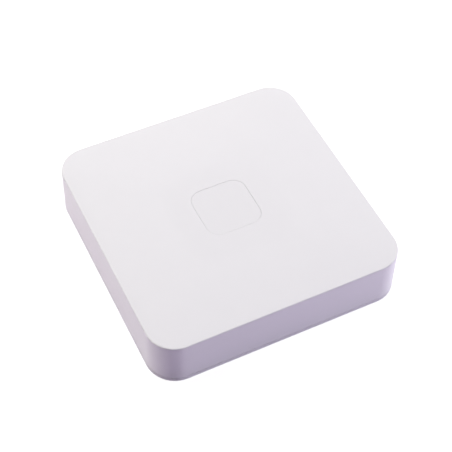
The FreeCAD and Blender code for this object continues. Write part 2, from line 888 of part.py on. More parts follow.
def make_processing_parts():
    """Processor and memory under their shield, right of the light guide, with the flash chip in front."""
    middle_x = guide_width / 2 + at.part_gap + at.shield_width / 2
    shield_y = board_front + at.part_gap * 2 + at.flash_size + at.shield_length / 2
    processor_y = shield_y + at.shield_length / 2 - at.part_gap - at.processor_size / 2
    memory_y = processor_y - at.processor_size / 2 - at.part_gap - at.memory_length / 2
    flash_y = board_front + at.part_gap + at.flash_size / 2
    size = at.processor_size
    shield = (at.shield_width, at.shield_length, at.shield_height)
    return [
        make_chip("processor", size, size, at.processor_height, middle_x, processor_y),
        make_chip("memory_chip", size, at.memory_length, at.processor_height, middle_x, memory_y),
        make_chip("flash_chip", at.flash_size, at.flash_size, at.processor_height, middle_x, flash_y),
        make_shield("processor_shield", *shield, middle_x, shield_y, board_top),
    ]


def make_radio(label, middle_y):
    """A small radio board with its metal can, beside the left row of board screws."""
    board = new_body(f"{label}_board")
    outline = sketch_on(board, "XY")
    block(outline, at.radio_board_width, at.radio_board_length)
    pad(outline, at.radio_board_thickness)
    place(board, radio_x, middle_y, board_top)
    can_y = middle_y - (at.radio_board_length - at.radio_shield_length) / 2 + at.radio_rim
    can_level = board_top + at.radio_board_thickness
    shield = (at.radio_board_width - 2 * at.radio_rim, at.radio_shield_length, at.radio_shield_height)
    return [board, make_shield(f"{label}_shield", *shield, radio_x, can_y, can_level)]


def radio_middle(order):
    """The two radios lie one behind the other, the first near the front edge of the board."""
    return board_front + at.part_gap + at.radio_board_length / 2 + order * at.radio_spacing


def antenna_place(order):
    """The middle of the free rear end of a radio board, where its antenna stands."""
    free_length = at.radio_board_length - at.radio_shield_length - at.radio_rim
    return radio_x, radio_middle(order) + (at.radio_board_length - free_length) / 2


def make_antenna(label, order, length, height):
    """A stamped sheet: a raised plate on two legs that are bent down to the radio board."""
    body = new_body(label)
    half, width, sheet = length / 2, at.antenna_width, at.antenna_sheet
    profile = sketch_on(body, "XZ", y=width / 2)
    polygon(
        profile,
        [
            (-half, 0),
            (sheet - half, 0),
            (sheet - half, height - sheet),
            (half, height - sheet),
            (half, height),
            (-half, height),
        ],
    )
    pad(profile, width)
    leg = sketch_on(body, "XY")
    block(leg, at.antenna_leg, sheet, 0, (width - sheet) / 2)
    pad(leg, height - sheet / 2)
    x, y = antenna_place(order)
    place(body, x, y, board_top + at.radio_board_thickness)
    return body


def make_network_transformer():
    """The moulded block in front of the network jack, with a row of bent legs on each side."""
    body = new_body("network_transformer", group=True)
    half, length = at.transformer_width / 2, at.transformer_length
    reach, height = at.transformer_leg_reach, at.transformer_height
    outline = sketch_on(body, "XY", z=at.bracket_sheet)
    block(outline, at.transformer_width, length)
    pad(outline, height - at.bracket_sheet)
    sheet, middle = at.bracket_sheet, height / 3
    leg = sketch_on(body, "YZ", x=row_start(at.transformer_leg_pitch, at.transformer_leg_count))
    side = length / 2
    polygon(
        leg,
        [
            (side - HIDDEN_OVERLAP, middle),
            (side + reach / 2 - sheet, middle),
            (side + reach / 2 - sheet, 0),
            (side + reach, 0),
            (side + reach, sheet),
            (side + reach / 2, sheet),
            (side + reach / 2, middle + sheet),
            (side - HIDDEN_OVERLAP, middle + sheet),
        ],
    )
    first = pad(leg, at.transformer_leg_width)
    first.Midplane = True
    row(body, "X", at.transformer_leg_pitch, at.transformer_leg_count, [first])
    mirror(body, "XZ")
    y = jack_rear - at.part_gap - side
    place(body, jack_x, y, board_top)
    return body


def make_power_inductor(x, y):
    """A square coil block with chamfered vertical edges and a round cap."""
    body = new_body("power_inductor")
    size, height = at.inductor_size, at.inductor_height
    outline = sketch_on(body, "XY")
    cut = size / 5
    cut_corner_block(outline, size, size, cut)
    pad(outline, height * 3 / 4)
    cap = sketch_on(body, "XY", z=height * 3 / 4)
    circle(cap, size / 2 - cut / 2)
    pad(cap, height / 4)
    place(body, x, y, board_top)
    return body


def make_filter_capacitors(x, y):
    """Two upright cans, side by side."""
    body = new_body("filter_capacitors", group=True)
    radius = at.capacitor_radius
    spacing = 2 * radius + at.part_gap / 4
    outline = sketch_on(body, "XY", x=row_start(spacing, 2))
    circle(outline, radius)
    pad(outline, at.capacitor_height)
    row(body, "X", spacing, 2)
    place(body, x, y, board_top)
    return body


def make_voltage_regulators(x, y):
    """Two chips with a soldered tab, side by side."""
    body = new_body("voltage_regulators", group=True)
    width, length, height = at.regulator_width, at.regulator_length, at.regulator_height
    spacing = width + at.part_gap / 2
    start = row_start(spacing, 2)
    case = sketch_on(body, "XY", x=start)
    block(case, width, length)
    pad(case, height)
    tab = sketch_on(body, "XY", x=start, y=length / 2)
    block(tab, width * 3 / 4, length / 3)
    pad(tab, height / 4)
    row(body, "X", spacing, 2)
    place(body, x, y, board_top)
    return body


def make_power_parts():
    """The supply parts in front of the power jack: capacitors, then the coil, then the regulators."""
    jack_front = port_face - at.power_depth
    capacitor_y = jack_front - at.part_gap / 2 - at.capacitor_radius
    inductor_y = capacitor_y - at.capacitor_radius - at.part_gap / 2 - at.inductor_size / 2
    regulator_y = inductor_y - at.inductor_size / 2 - at.part_gap / 2 - at.regulator_length
    return [
        make_filter_capacitors(power_x, capacitor_y),
        make_power_inductor(power_x, inductor_y),
        make_voltage_regulators(power_x, regulator_y),
    ]


def make_crystal():
    """The clock crystal: a low can with round ends, left of the flash chip."""
    body = new_body("crystal")
    outline = sketch_on(body, "XY")
    slot(outline, at.crystal_length, at.crystal_width)
    pad(outline, at.crystal_height)
    x = guide_width / 2 - at.crystal_width / 2
    y = -(guide_width / 2 + at.part_gap + at.crystal_length / 2)
    place(body, x, y, board_top)
    return body


def make_board_passives():
    """Rows of small resistors and capacitors along the front of the board."""
    body = new_body("board_passives", group=True)
    one = sketch_on(body, "XY", x=row_start(at.passive_pitch, at.passive_count))
    block(one, at.passive_width, at.passive_length)
    pad(one, at.passive_height)
    row(body, "X", at.passive_pitch, at.passive_count)
    row(body, "Y", at.passive_pitch, at.passive_rows)
    place(body, 0, board_front + at.part_gap, board_top)
    return body


# Sockets. Each has its own origin at the bottom middle of its face and reaches back from there along -Y.


def make_network_jack_body():
    """The moulded insert of the network socket: plug cavity, latch slot below it and two lamp seats."""
    body = new_body("network_jack_body")
    skin = at.jack_sheet + at.press_clearance
    half = at.jack_width / 2 - skin
    outline = sketch_on(body, "XZ", y=-skin)
    rectangle(outline, -half, half, 0, at.jack_height - skin)
    pad(outline, at.jack_depth - 2 * skin)
    cavity = sketch_on(body, "XZ", y=-skin)
    plug_top = plug_bottom + at.plug_height
    rectangle(cavity, -at.plug_width / 2, at.plug_width / 2, plug_bottom, plug_top)
    pocket(cavity, at.plug_depth, flip=True)
    latch = sketch_on(body, "XZ", y=-skin)
    latch_top = plug_bottom + at.plug_height / 2
    rectangle(latch, -at.latch_width / 2, at.latch_width / 2, at.latch_floor, latch_top)
    pocket(latch, at.plug_depth, flip=True)
    seats = sketch_on(body, "XZ", y=-skin)
    for side in SIDES:
        width, height = at.lamp_width + 2 * at.press_clearance, at.lamp_height + 2 * at.press_clearance
        block(seats, width, height, side * lamp_x, lamp_z)
    pocket(seats, at.lamp_depth, flip=True)
    place(body, jack_x, port_face, board_top)
    return body


def make_network_jack_shell():
    """The folded steel jacket round the insert: open below, with a framed window in front."""
    body = new_body("network_jack_shell")
    half = at.jack_width / 2
    outline = sketch_on(body, "XZ")
    rectangle(outline, -half, half, 0, at.jack_height)
    pad(outline, at.jack_depth)
    hollow = sketch_on(body, "XY")
    inner = half - at.jack_sheet
    rectangle(hollow, -inner, inner, at.jack_sheet - at.jack_depth, -at.jack_sheet)
    pocket(hollow, at.jack_height - at.jack_sheet, flip=True)
    window = sketch_on(body, "XZ")
    opening = half - at.jack_frame
    rectangle(window, -opening, opening, at.latch_floor / 2, at.jack_height - at.jack_frame)
    pocket(window, at.jack_sheet, flip=True)
    place(body, jack_x, port_face, board_top)
    return body


def make_network_jack_contacts():
    """Eight spring wires below the cavity's ceiling, each folded back on itself towards the plug."""
    body = new_body("network_jack_contacts", group=True)
    wire = at.contact_wire
    top = plug_bottom + at.plug_height
    front = -(at.jack_sheet + at.press_clearance + at.contact_setback)
    rear = front - at.contact_run
    fold = front - 2 * wire
    profile = sketch_on(body, "YZ", x=row_start(at.contact_pitch, at.contact_count))
    polygon(
        profile,
        [
            (front, top),
            (rear, top),
            (rear, top - wire),
            (fold, top - wire),
            (rear, top - at.contact_drop + wire),
            (rear, top - at.contact_drop),
            (front, top - wire),
        ],
    )
    first = pad(profile, wire)
    first.Midplane = True
    row(body, "X", at.contact_pitch, at.contact_count)
    place(body, jack_x, port_face, board_top)
    return body


def make_network_jack_lights():
    """Two signal lamps in the lower corners of the network socket."""
    body = new_body("network_jack_lights", group=True)
    face = sketch_on(body, "XZ", x=lamp_x, y=-at.jack_sheet, z=lamp_z)
    block(face, at.lamp_width, at.lamp_height)
    pad(face, at.lamp_depth)
    mirror(body, "YZ")
    place(body, jack_x, port_face, board_top)
    return body


def make_power_jack_body():
    """The moulded power socket: a square flange in front, a round-backed barrel and a slot for its leaf."""
    body = new_body("power_jack_body")
    half, back = at.power_width / 2, at.power_width / 2 - at.power_step
    flange = sketch_on(body, "XZ")
    rectangle(flange, -half, half, 0, at.power_height)
    pad(flange, at.power_flange)
    block_back = sketch_on(body, "XZ")
    rectangle(block_back, -back, back, 0, at.power_axis_height)
    pad(block_back, at.power_depth)
    round_back = sketch_on(body, "XZ", z=at.power_axis_height)
    circle(round_back, back)
    pad(round_back, at.power_depth)
    bore = sketch_on(body, "XZ", z=at.power_axis_height)
    circle(bore, at.barrel_radius)
    pocket(bore, at.barrel_depth, flip=True)
    pin_seat = sketch_on(body, "XZ", y=-at.barrel_depth, z=at.power_axis_height)
    circle(pin_seat, at.power_pin_root_radius + at.press_clearance)
    pocket(pin_seat, at.power_pin_root, flip=True)
    leaf_slot = sketch_on(body, "XZ", y=-at.power_flange)
    slot_half = at.leaf_width / 2 + at.leaf_clearance
    rectangle(leaf_slot, -slot_half, slot_half, leaf_floor, at.power_axis_height)
    pocket(leaf_slot, at.barrel_depth - at.power_flange, flip=True)
    place(body, power_x, port_face, board_top)
    return body


def make_power_jack_pin():
    """The round centre contact of the power socket, with a thicker root in its seat."""
    body = new_body("power_jack_pin")
    radius, tip = at.power_pin_radius, -at.power_pin_setback
    shoulder = -at.barrel_depth
    root = shoulder - at.power_pin_root
    profile = sketch_on(body, "XY")
    polygon(
        profile,
        [
            (0, root),
            (at.power_pin_root_radius, root),
            (at.power_pin_root_radius, shoulder),
            (radius, shoulder),
            (radius, tip),
            (0, tip),
        ],
    )
    revolve(profile)
    place(body, power_x, port_face, board_top + at.power_axis_height)
    return body


def make_power_jack_spring():
    """The bowed leaf that presses on a plug's sleeve from below."""
    body = new_body("power_jack_spring")
    front = -(at.power_flange + at.leaf_clearance)
    rear = at.leaf_clearance - at.barrel_depth
    crest = leaf_floor + at.leaf_rise + at.leaf_clearance
    bow = [(rear, leaf_floor), ((front + rear) / 2, crest), (front, leaf_floor)]
    profile = sketch_on(body, "YZ")
    polygon(profile, bow + [(y, z + at.leaf_thickness) for y, z in reversed(bow)])
    strip = pad(profile, at.leaf_width)
    strip.Midplane = True
    place(body, power_x, port_face, board_top)
    return body


# Button and switches


def make_pair_button():
    """The button's cap, with a flange that keeps it in the wall and a stem that meets the switch."""
    body = new_body("pair_button")
    drop = (switch_axis + at.button_flange_radius - seam_top) * tangent(at.draft_angle)
    flange_rear = half_depth - at.wall - drop - at.button_wall_gap
    cap_end = half_depth - at.button_shyness - flange_rear
    stem_end = plunger_tip + at.button_stem_gap - flange_rear
    rounding = at.button_edge_radius
    profile = sketch_on(body, "XY")
    polygon(
        profile,
        [
            (0, stem_end),
            (at.button_stem_radius, stem_end),
            (at.button_stem_radius, -at.button_flange),
            (at.button_flange_radius, -at.button_flange),
            (at.button_flange_radius, 0),
            (at.button_radius, 0),
            (at.button_radius, cap_end - rounding),
            (at.button_radius - rounding, cap_end),
            (0, cap_end),
        ],
    )
    revolve(profile)
    place(body, button_x, flange_rear, switch_axis)
    return body


def make_switch(label, x):
    """An upright push switch: housing, folded bracket and plunger."""
    housing = new_body(f"{label}_switch_body")
    half, height = at.switch_size / 2, at.switch_axis_height + at.switch_size / 2
    outline = sketch_on(housing, "XY", y=-at.switch_depth / 2)
    block(outline, at.switch_size, at.switch_depth)
    pad(outline, height)
    bore = sketch_on(housing, "XZ", z=at.switch_axis_height)
    circle(bore, at.plunger_radius + at.plunger_clearance)
    pocket(bore, at.plunger_inside + 2 * at.plunger_travel, flip=True)
    place(housing, x, switch_front, board_top)

    bracket = new_body(f"{label}_switch_bracket")
    inner, outer = half + at.press_clearance, half + at.press_clearance + at.bracket_sheet
    fold = sketch_on(bracket, "XY")
    polygon(
        fold,
        [
            (-outer, at.bracket_sheet),
            (-outer, -at.bracket_leg),
            (-inner, -at.bracket_leg),
            (-inner, 0),
            (inner, 0),
            (inner, -at.bracket_leg),
            (outer, -at.bracket_leg),
            (outer, at.bracket_sheet),
        ],
    )
    pad(fold, height)
    opening = sketch_on(bracket, "XZ", y=at.bracket_sheet, z=at.switch_axis_height)
    circle(opening, at.plunger_radius + at.button_clearance)
    pocket(opening, at.bracket_sheet, flip=True)
    place(bracket, x, switch_front, board_top)

    plunger = new_body(f"{label}_switch_plunger")
    tip = at.bracket_sheet + at.plunger_stand
    profile = sketch_on(plunger, "XZ", y=tip)
    circle(profile, at.plunger_radius)
    pad(profile, at.plunger_inside + tip)
    place(plunger, x, switch_front, switch_axis)
    return [housing, bracket, plunger]


def make_all_pieces():
    pieces = [make_top_cover(), make_base_tray(), make_case_screws(), make_board_screws()]
    for side_x, across in ((-1, "left"), (1, "right")):
        for side_y, along in ((-1, "front"), (1, "rear")):
            pieces.append(make_foot(f"foot_{along}_{across}", side_x * foot_x, side_y * foot_y))
    pieces += [make_status_window(), make_light_guide(), make_status_leds(), make_main_board()]
    pieces += make_processing_parts()
    pieces += make_radio("mesh_radio", radio_middle(0))
    pieces += make_radio("sensor_radio", radio_middle(1))
    pieces.append(make_antenna("mesh_antenna", 0, at.mesh_antenna_length, at.mesh_antenna_height))
    pieces.append(make_antenna("sensor_antenna", 1, at.sensor_antenna_length, at.sensor_antenna_height))
    pieces.append(make_network_transformer())
    pieces += make_power_parts()
    pieces += [make_crystal(), make_board_passives()]
    pieces += [make_network_jack_body(), make_network_jack_shell()]
    pieces += [make_network_jack_contacts(), make_network_jack_lights()]
    pieces += [make_power_jack_body(), make_power_jack_pin(), make_power_jack_spring()]
    pieces.append(make_pair_button())
    pieces += make_switch("pair", button_x)
    pieces += make_switch("reset", reset_x)
    return pieces


def check_and_export(pieces):
    """Stops on any failed feature or broken shape, and only then writes one file for each piece."""
    doc.recompute()
    for item in doc.Objects:
        if "Invalid" in item.State or "Error" in item.State:
            owner = item.getParentGeoFeatureGroup()
            raise RuntimeError(f"{item.Label} of {owner.Label} failed: {item.State}")
    for piece in pieces:
        if piece.Shape.isNull() or not piece.Shape.isValid() or not piece.Shape.Solids:
            raise RuntimeError(f"{piece.Label} has no sound solid")
    os.makedirs("parts", exist_ok=True)
    for piece in pieces:
        piece.Shape.exportStep(os.path.join("parts", f"{piece.Label}.step"))
        print(f"{piece.Label}: {len(piece.Shape.Solids)} solid(s), {piece.Shape.Volume:.1f} mm3")


check_and_export(make_all_pieces())
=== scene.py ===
import json
import math

import bmesh
import bpy
from mathutils import Matrix, Vector


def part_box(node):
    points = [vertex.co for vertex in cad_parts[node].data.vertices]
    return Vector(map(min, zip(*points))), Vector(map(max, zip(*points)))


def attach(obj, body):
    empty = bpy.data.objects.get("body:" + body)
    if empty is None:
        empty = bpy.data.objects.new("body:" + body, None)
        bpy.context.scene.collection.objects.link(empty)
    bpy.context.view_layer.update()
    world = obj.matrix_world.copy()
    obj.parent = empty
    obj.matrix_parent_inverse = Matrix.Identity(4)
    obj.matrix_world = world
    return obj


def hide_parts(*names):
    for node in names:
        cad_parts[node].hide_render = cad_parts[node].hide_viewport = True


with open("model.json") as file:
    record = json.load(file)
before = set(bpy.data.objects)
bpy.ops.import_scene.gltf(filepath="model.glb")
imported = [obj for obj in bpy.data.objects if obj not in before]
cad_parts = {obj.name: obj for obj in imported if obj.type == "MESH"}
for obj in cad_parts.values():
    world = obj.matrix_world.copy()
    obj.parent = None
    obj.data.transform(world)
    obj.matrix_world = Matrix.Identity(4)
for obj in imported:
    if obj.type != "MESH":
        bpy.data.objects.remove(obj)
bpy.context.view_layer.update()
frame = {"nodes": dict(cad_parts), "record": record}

nodes = frame["nodes"]

MM = 0.001

# The photograph's frame and the camera's place in it
PICTURE_WIDTH = 452
FOCAL_PIXELS = 1188
CAMERA_TURN = math.radians(-27.44)
CAMERA_RISE = math.radians(51.98)
CAMERA_ROLL = math.radians(1.91)
CAMERA_DISTANCE = 0.5726
AIM_HEIGHT = 0.0132
AIM_OFFSET_X = 0.42
AIM_OFFSET_Y = -2.05

# The world's fill light, the floor under the object, and the place that the soft boxes face
WORLD_LEVEL = 0.03
WORLD_TINT = (0.93, 0.85, 1.0)
FLOOR_HALF_WIDTH = 3.0
FLOOR_DROP = 0.05 * MM
FLOOR_BOUNCE = (0.6, 0.47, 0.74)
FLOOR_SEEN = (0.6, 0.6, 0.6)
FLOOR_GLOW = 0.77
LIGHT_AIM = (0, 0, 0.01)

# The range that most values of a noise texture lie in
NOISE_LOW = 0.3
NOISE_HIGH = 0.7

# Angles past which an edge is shaded sharp, or is rounded
CRISP_ANGLE = math.radians(28)
ROUNDED_ANGLE = math.radians(40)

# Distances in metres under which points become one, in a solid and in a loft
JOIN_DISTANCE = 1e-6
LOFT_JOIN_DISTANCE = 1e-7

# Screws in millimetres, as large as their solids
CASE_SCREW = {
    "Head Radius": 2.5,
    "Head Height": 1.6,
    "Shank Radius": 1.2,
    "Length": 10.0,
    "Thread Pitch": 1.0,
}
BOARD_SCREW = {
    "Head Radius": 2.2,
    "Head Height": 1.4,
    "Shank Radius": 1.1,
    "Length": 4.2,
    "Thread Pitch": 0.7,
}

# Turns of a repeated shape
UPRIGHT = (0.0, 0.0, 0.0)
HEAD_UP = (math.pi, 0.0, 0.0)
TURNED_ROUND = (0.0, 0.0, math.pi)


# Nodes and meshes


def add(tree, kind, inputs=None, **settings):
    """Adds a node, sets its properties, and fills its inputs from values or from other nodes' outputs."""
    made = tree.nodes.new(kind)
    for name, setting in settings.items():
        setattr(made, name, setting)
    for name, value in (inputs or {}).items():
        if isinstance(value, bpy.types.NodeSocket):
            tree.links.new(value, made.inputs[name])
        else:
            made.inputs[name].default_value = value
    return made


def maths(tree, operation, *values):
    """The result of a Math node."""
    return add(tree, "ShaderNodeMath", dict(enumerate(values)), operation=operation).outputs[0]


def vector_of(tree, x=0.0, y=0.0, z=0.0):
    """A vector made of three numbers or outputs."""
    return add(tree, "ShaderNodeCombineXYZ", {"X": x, "Y": y, "Z": z}).outputs[0]


def new_object(name, data):
    """An object of the scene that holds a mesh, a lamp or a camera."""
    item = bpy.data.objects.new(name, data)
    bpy.context.collection.objects.link(item)
    return item


def settle(item, replaced=(), body="housing"):
    """Makes a finished piece ride on a body, and hides the CAD solids it stands for."""
    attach(item, body)
    if replaced:
        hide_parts(*replaced)


def middle_of(node):
    """The middle of a node's box."""
    low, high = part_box(node)
    return (low + high) / 2


# Camera, floor and light


def look_from(turn, rise, roll, distance, aim):
    """The matrix of a camera that looks at a point from a distance."""
    back = Vector((math.sin(turn) * math.cos(rise), -math.cos(turn) * math.cos(rise), math.sin(rise)))
    right = Vector((math.cos(turn), math.sin(turn), 0))
    up = back.cross(right)
    rolled_right = right * math.cos(roll) + up * math.sin(roll)
    rolled_up = up * math.cos(roll) - right * math.sin(roll)
    turned = Matrix((rolled_right, rolled_up, back)).transposed()
    return Matrix.Translation(aim + back * distance) @ turned.to_4x4()


def make_camera():
    """The photograph's camera, shifted a little to its framing."""
    data = bpy.data.cameras.new("camera")
    data.sensor_width = 36
    data.lens = FOCAL_PIXELS / PICTURE_WIDTH * data.sensor_width
    data.shift_x = AIM_OFFSET_X / PICTURE_WIDTH
    data.shift_y = AIM_OFFSET_Y / PICTURE_WIDTH
    data.clip_start = 0.01
    camera = new_object("camera", data)
    aim = Vector((0, 0, AIM_HEIGHT))
    camera.matrix_world = look_from(CAMERA_TURN, CAMERA_RISE, CAMERA_ROLL, CAMERA_DISTANCE, aim)
    bpy.context.scene.camera = camera


def soft_light(name, place, size, power, colour):
    """A square soft box that faces the object, and isn't mirrored in glossy surfaces."""
    data = bpy.data.lights.new(name, "AREA")
    data.shape = "SQUARE"
    data.size = size
    data.energy = power
    data.color = colour
    light = new_object(name, data)
    direction = Vector(LIGHT_AIM) - Vector(place)
    light.rotation_euler = direction.to_track_quat("-Z", "Y").to_euler()
    light.location = place
    light.visible_glossy = False


def background_ray(tree):
    """A mask that is 1 for what the camera sees directly, in a mirror or through glass."""
    rays = add(tree, "ShaderNodeLightPath").outputs
    mirrored = maths(tree, "MAXIMUM", rays["Is Camera Ray"], rays["Is Glossy Ray"])
    return maths(tree, "MAXIMUM", mirrored, rays["Is Transmission Ray"])


def make_world():
    """A faint tinted fill light, and plain white where the camera, a mirror or glass shows the world."""
    world = bpy.data.worlds.new("studio")
    world.use_nodes = True
    tree = world.node_tree
    tree.nodes.clear()
    fill = add(tree, "ShaderNodeBackground", {"Color": (*WORLD_TINT, 1), "Strength": WORLD_LEVEL})
    white = add(tree, "ShaderNodeBackground", {"Color": (1, 1, 1, 1), "Strength": 1.0})
    mix = add(
        tree,
        "ShaderNodeMixShader",
        {0: background_ray(tree), 1: fill.outputs[0], 2: white.outputs[0]},
    )
    add(tree, "ShaderNodeOutputWorld", {"Surface": mix.outputs[0]})
    bpy.context.scene.world = world


def make_floor():
    """A wide pale sheet, white to the camera apart from the object's soft shadow, and clear from below."""
    half, low = FLOOR_HALF_WIDTH, -FLOOR_DROP
    corners = [(-half, -half, low), (half, -half, low), (half, half, low), (-half, half, low)]
    mesh = bpy.data.meshes.new("floor")
    mesh.from_pydata(corners, [], [(0, 1, 2, 3)])
    paint = bpy.data.materials.new("pale_floor")
    paint.use_nodes = True
    mesh.materials.append(paint)
    tree = paint.node_tree
    tree.nodes.clear()
    bouncing = add(tree, "ShaderNodeBsdfDiffuse", {"Color": (*FLOOR_BOUNCE, 1)})
    seen = add(tree, "ShaderNodeBsdfDiffuse", {"Color": (*FLOOR_SEEN, 1)})
    glow = add(tree, "ShaderNodeEmission", {"Color": (1, 1, 1, 1), "Strength": FLOOR_GLOW})
    lit = add(tree, "ShaderNodeAddShader", {0: seen.outputs[0], 1: glow.outputs[0]})
    sheet = add(
        tree,
        "ShaderNodeMixShader",
        {0: background_ray(tree), 1: bouncing.outputs[0], 2: lit.outputs[0]},
    )
    back = add(tree, "ShaderNodeNewGeometry").outputs["Backfacing"]
    shadow = add(tree, "ShaderNodeLightPath").outputs["Is Shadow Ray"]
    clear = add(tree, "ShaderNodeBsdfTransparent")
    surface = add(
        tree,
        "ShaderNodeMixShader",
        {0: maths(tree, "MAXIMUM", back, shadow), 1: sheet.outputs[0], 2: clear.outputs[0]},
    )
    add(tree, "ShaderNodeOutputMaterial", {"Surface": surface.outputs[0]})
    new_object("floor", mesh)


def light_the_studio():
    """Soft boxes overhead, at the left and at the right, and one below for the underside."""
    soft_light("rear_overhead_light", (0.0, 0.7, 1.0), size=0.9, power=10.6, colour=(0.994, 1.0, 0.972))
    soft_light("overhead_light", (0.0, 0.0, 1.1), size=0.9, power=2.7, colour=(0.88, 0.84, 1.0))
    soft_light("left_light", (-1.0, 0.55, 0.3), size=0.6, power=4.5, colour=(1.0, 0.955, 0.82))
    soft_light("right_front_light", (0.95, -0.5, 0.3), size=0.5, power=6.8, colour=(0.895, 0.88, 1.0))
    soft_light("right_rear_light", (1.0, 0.3, 0.3), size=0.5, power=2.2, colour=(0.97, 1.0, 0.8))
    soft_light("light_from_below", (0.0, 0.0, -1.0), size=0.9, power=6.0, colour=(0.9, 1.0, 0.84))


# Shared shader groups


def new_group(name, inputs, outputs):
    """An empty shader group with number inputs and number outputs, and what goes in and out of it."""
    group = bpy.data.node_groups.new(name, "ShaderNodeTree")
    for label, value in inputs.items():
        socket = group.interface.new_socket(name=label, in_out="INPUT", socket_type="NodeSocketFloat")
        socket.default_value = value
    for label in outputs:
        group.interface.new_socket(name=label, in_out="OUTPUT", socket_type="NodeSocketFloat")
    return group, add(group, "NodeGroupInput").outputs, add(group, "NodeGroupOutput").inputs


def noise(tree, place, scale, detail=2.0):
    """The values of a noise texture."""
    texture = add(tree, "ShaderNodeTexNoise", {"Vector": place, "Scale": scale, "Detail": detail})
    return texture.outputs["Fac"]


def make_mould_grain():
    """Fine spark-eroded grain for bumps, and slow mottling for colour and gloss."""
    group, given, out = new_group(
        "mould_grain", {"Grain Scale": 3000.0, "Mottle Scale": 60.0}, ("Grain", "Mottle")
    )
    place = add(group, "ShaderNodeTexCoord").outputs["Object"]
    group.links.new(noise(group, place, given["Grain Scale"]), out["Grain"])
    group.links.new(noise(group, place, given["Mottle Scale"], 4.0), out["Mottle"])
    return group


def make_drawn_streaks():
    """Fine parallel streaks, as rolling or drawing leaves them on metal, and slow mottling."""
    group, given, out = new_group(
        "drawn_streaks",
        {"Streak Scale": 900.0, "Stretch": 0.04, "Mottle Scale": 180.0},
        ("Streaks", "Mottle"),
    )
    place = add(group, "ShaderNodeTexCoord").outputs["Object"]
    stretch = vector_of(group, given["Stretch"], 1.0, 1.0)
    squeezed = add(group, "ShaderNodeVectorMath", {0: place, 1: stretch}, operation="MULTIPLY").outputs[0]
    group.links.new(noise(group, squeezed, given["Streak Scale"], 3.0), out["Streaks"])
    group.links.new(noise(group, place, given["Mottle Scale"]), out["Mottle"])
    return group


def make_copper_tracks():
    """A mask of narrow runs, along Y in some areas and along X in others, and a mask of round vias."""
    area_scale, upper_level, lower_level = 70.0, 0.5, 0.42
    track_share, via_radius = 0.3, 0.12
    group, given, out = new_group(
        "copper_tracks", {"Track Pitch": 0.0012, "Via Pitch": 0.005}, ("Tracks", "Vias")
    )
    place = add(group, "ShaderNodeTexCoord").outputs["Object"]
    parts = add(group, "ShaderNodeSeparateXYZ", {0: place}).outputs
    field = noise(group, place, area_scale, 0.0)
    areas = {
        "X": maths(group, "GREATER_THAN", field, upper_level),
        "Y": maths(group, "SUBTRACT", 1.0, maths(group, "GREATER_THAN", field, lower_level)),
    }
    runs = []
    for across, area in areas.items():
        along = maths(group, "FRACT", maths(group, "DIVIDE", parts[across], given["Track Pitch"]))
        line = maths(group, "LESS_THAN", along, track_share)
        runs.append(maths(group, "MULTIPLY", line, area))
    group.links.new(maths(group, "MAXIMUM", *runs), out["Tracks"])
    scale = maths(group, "DIVIDE", 1.0, given["Via Pitch"])
    cells = add(group, "ShaderNodeTexVoronoi", {"Vector": place, "Scale": scale}, voronoi_dimensions="3D")
    group.links.new(maths(group, "LESS_THAN", cells.outputs["Distance"], via_radius), out["Vias"])
    return group


MOULD_GRAIN = make_mould_grain()
DRAWN_STREAKS = make_drawn_streaks()
COPPER_TRACKS = make_copper_tracks()


# Materials


def blank_material(name):
    """A material with a Principled shader, its node tree and that shader."""
    material = bpy.data.materials.new(name)
    material.use_nodes = True
    tree = material.node_tree
    return material, tree, tree.nodes["Principled BSDF"]


def spread(tree, source, target, middle, reach):
    """Feeds a socket with a number that a mask makes a little smaller and larger."""
    limits = {
        "Value": source,
        "From Min": NOISE_LOW,
        "From Max": NOISE_HIGH,
        "To Min": middle - reach,
        "To Max": middle + reach,
    }
    tree.links.new(add(tree, "ShaderNodeMapRange", limits).outputs["Result"], target)


def tint(tree, source, colour, contrast):
    """A colour that a mask makes a little darker and lighter."""
    ramp = add(tree, "ShaderNodeValToRGB", {"Fac": source})
    stops = ((NOISE_LOW, 1 - contrast), (NOISE_HIGH, 1 + contrast))
    for element, (place, level) in zip(ramp.color_ramp.elements, stops):
        element.position = place
        element.color = (*(min(1.0, part * level) for part in colour), 1)
    return ramp.outputs["Color"]


def paint_over(tree, below, colour, mask):
    """One colour over another where a mask is 1."""
    mix = add(tree, "ShaderNodeMix", data_type="RGBA")
    below_socket, over_socket = [socket for socket in mix.inputs if socket.type == "RGBA"]
    tree.links.new(mask, mix.inputs["Factor"])
    tree.links.new(below, below_socket)
    over_socket.default_value = (*colour, 1)
    return [socket for socket in mix.outputs if socket.type == "RGBA"][0]


def bump(tree, shader, source, depth):
    """Raises a surface by a mask, to a depth in metres."""
    relief = add(tree, "ShaderNodeBump", {"Strength": 1.0, "Distance": depth, "Height": source})
    tree.links.new(relief.outputs["Normal"], shader.inputs["Normal"])


def moulded(name, colour, roughness, grain=3000.0, depth=0.00002, contrast=0.02):
    """Moulded plastic or rubber with a fine grain, whose depth is in metres."""
    material, tree, shader = blank_material(name)
    surface = add(tree, "ShaderNodeGroup", node_tree=MOULD_GRAIN)
    surface.inputs["Grain Scale"].default_value = grain
    mottle = surface.outputs["Mottle"]
    tree.links.new(tint(tree, mottle, colour, contrast), shader.inputs["Base Color"])
    spread(tree, mottle, shader.inputs["Roughness"], middle=roughness, reach=0.04)
    bump(tree, shader, surface.outputs["Grain"], depth)
    return material


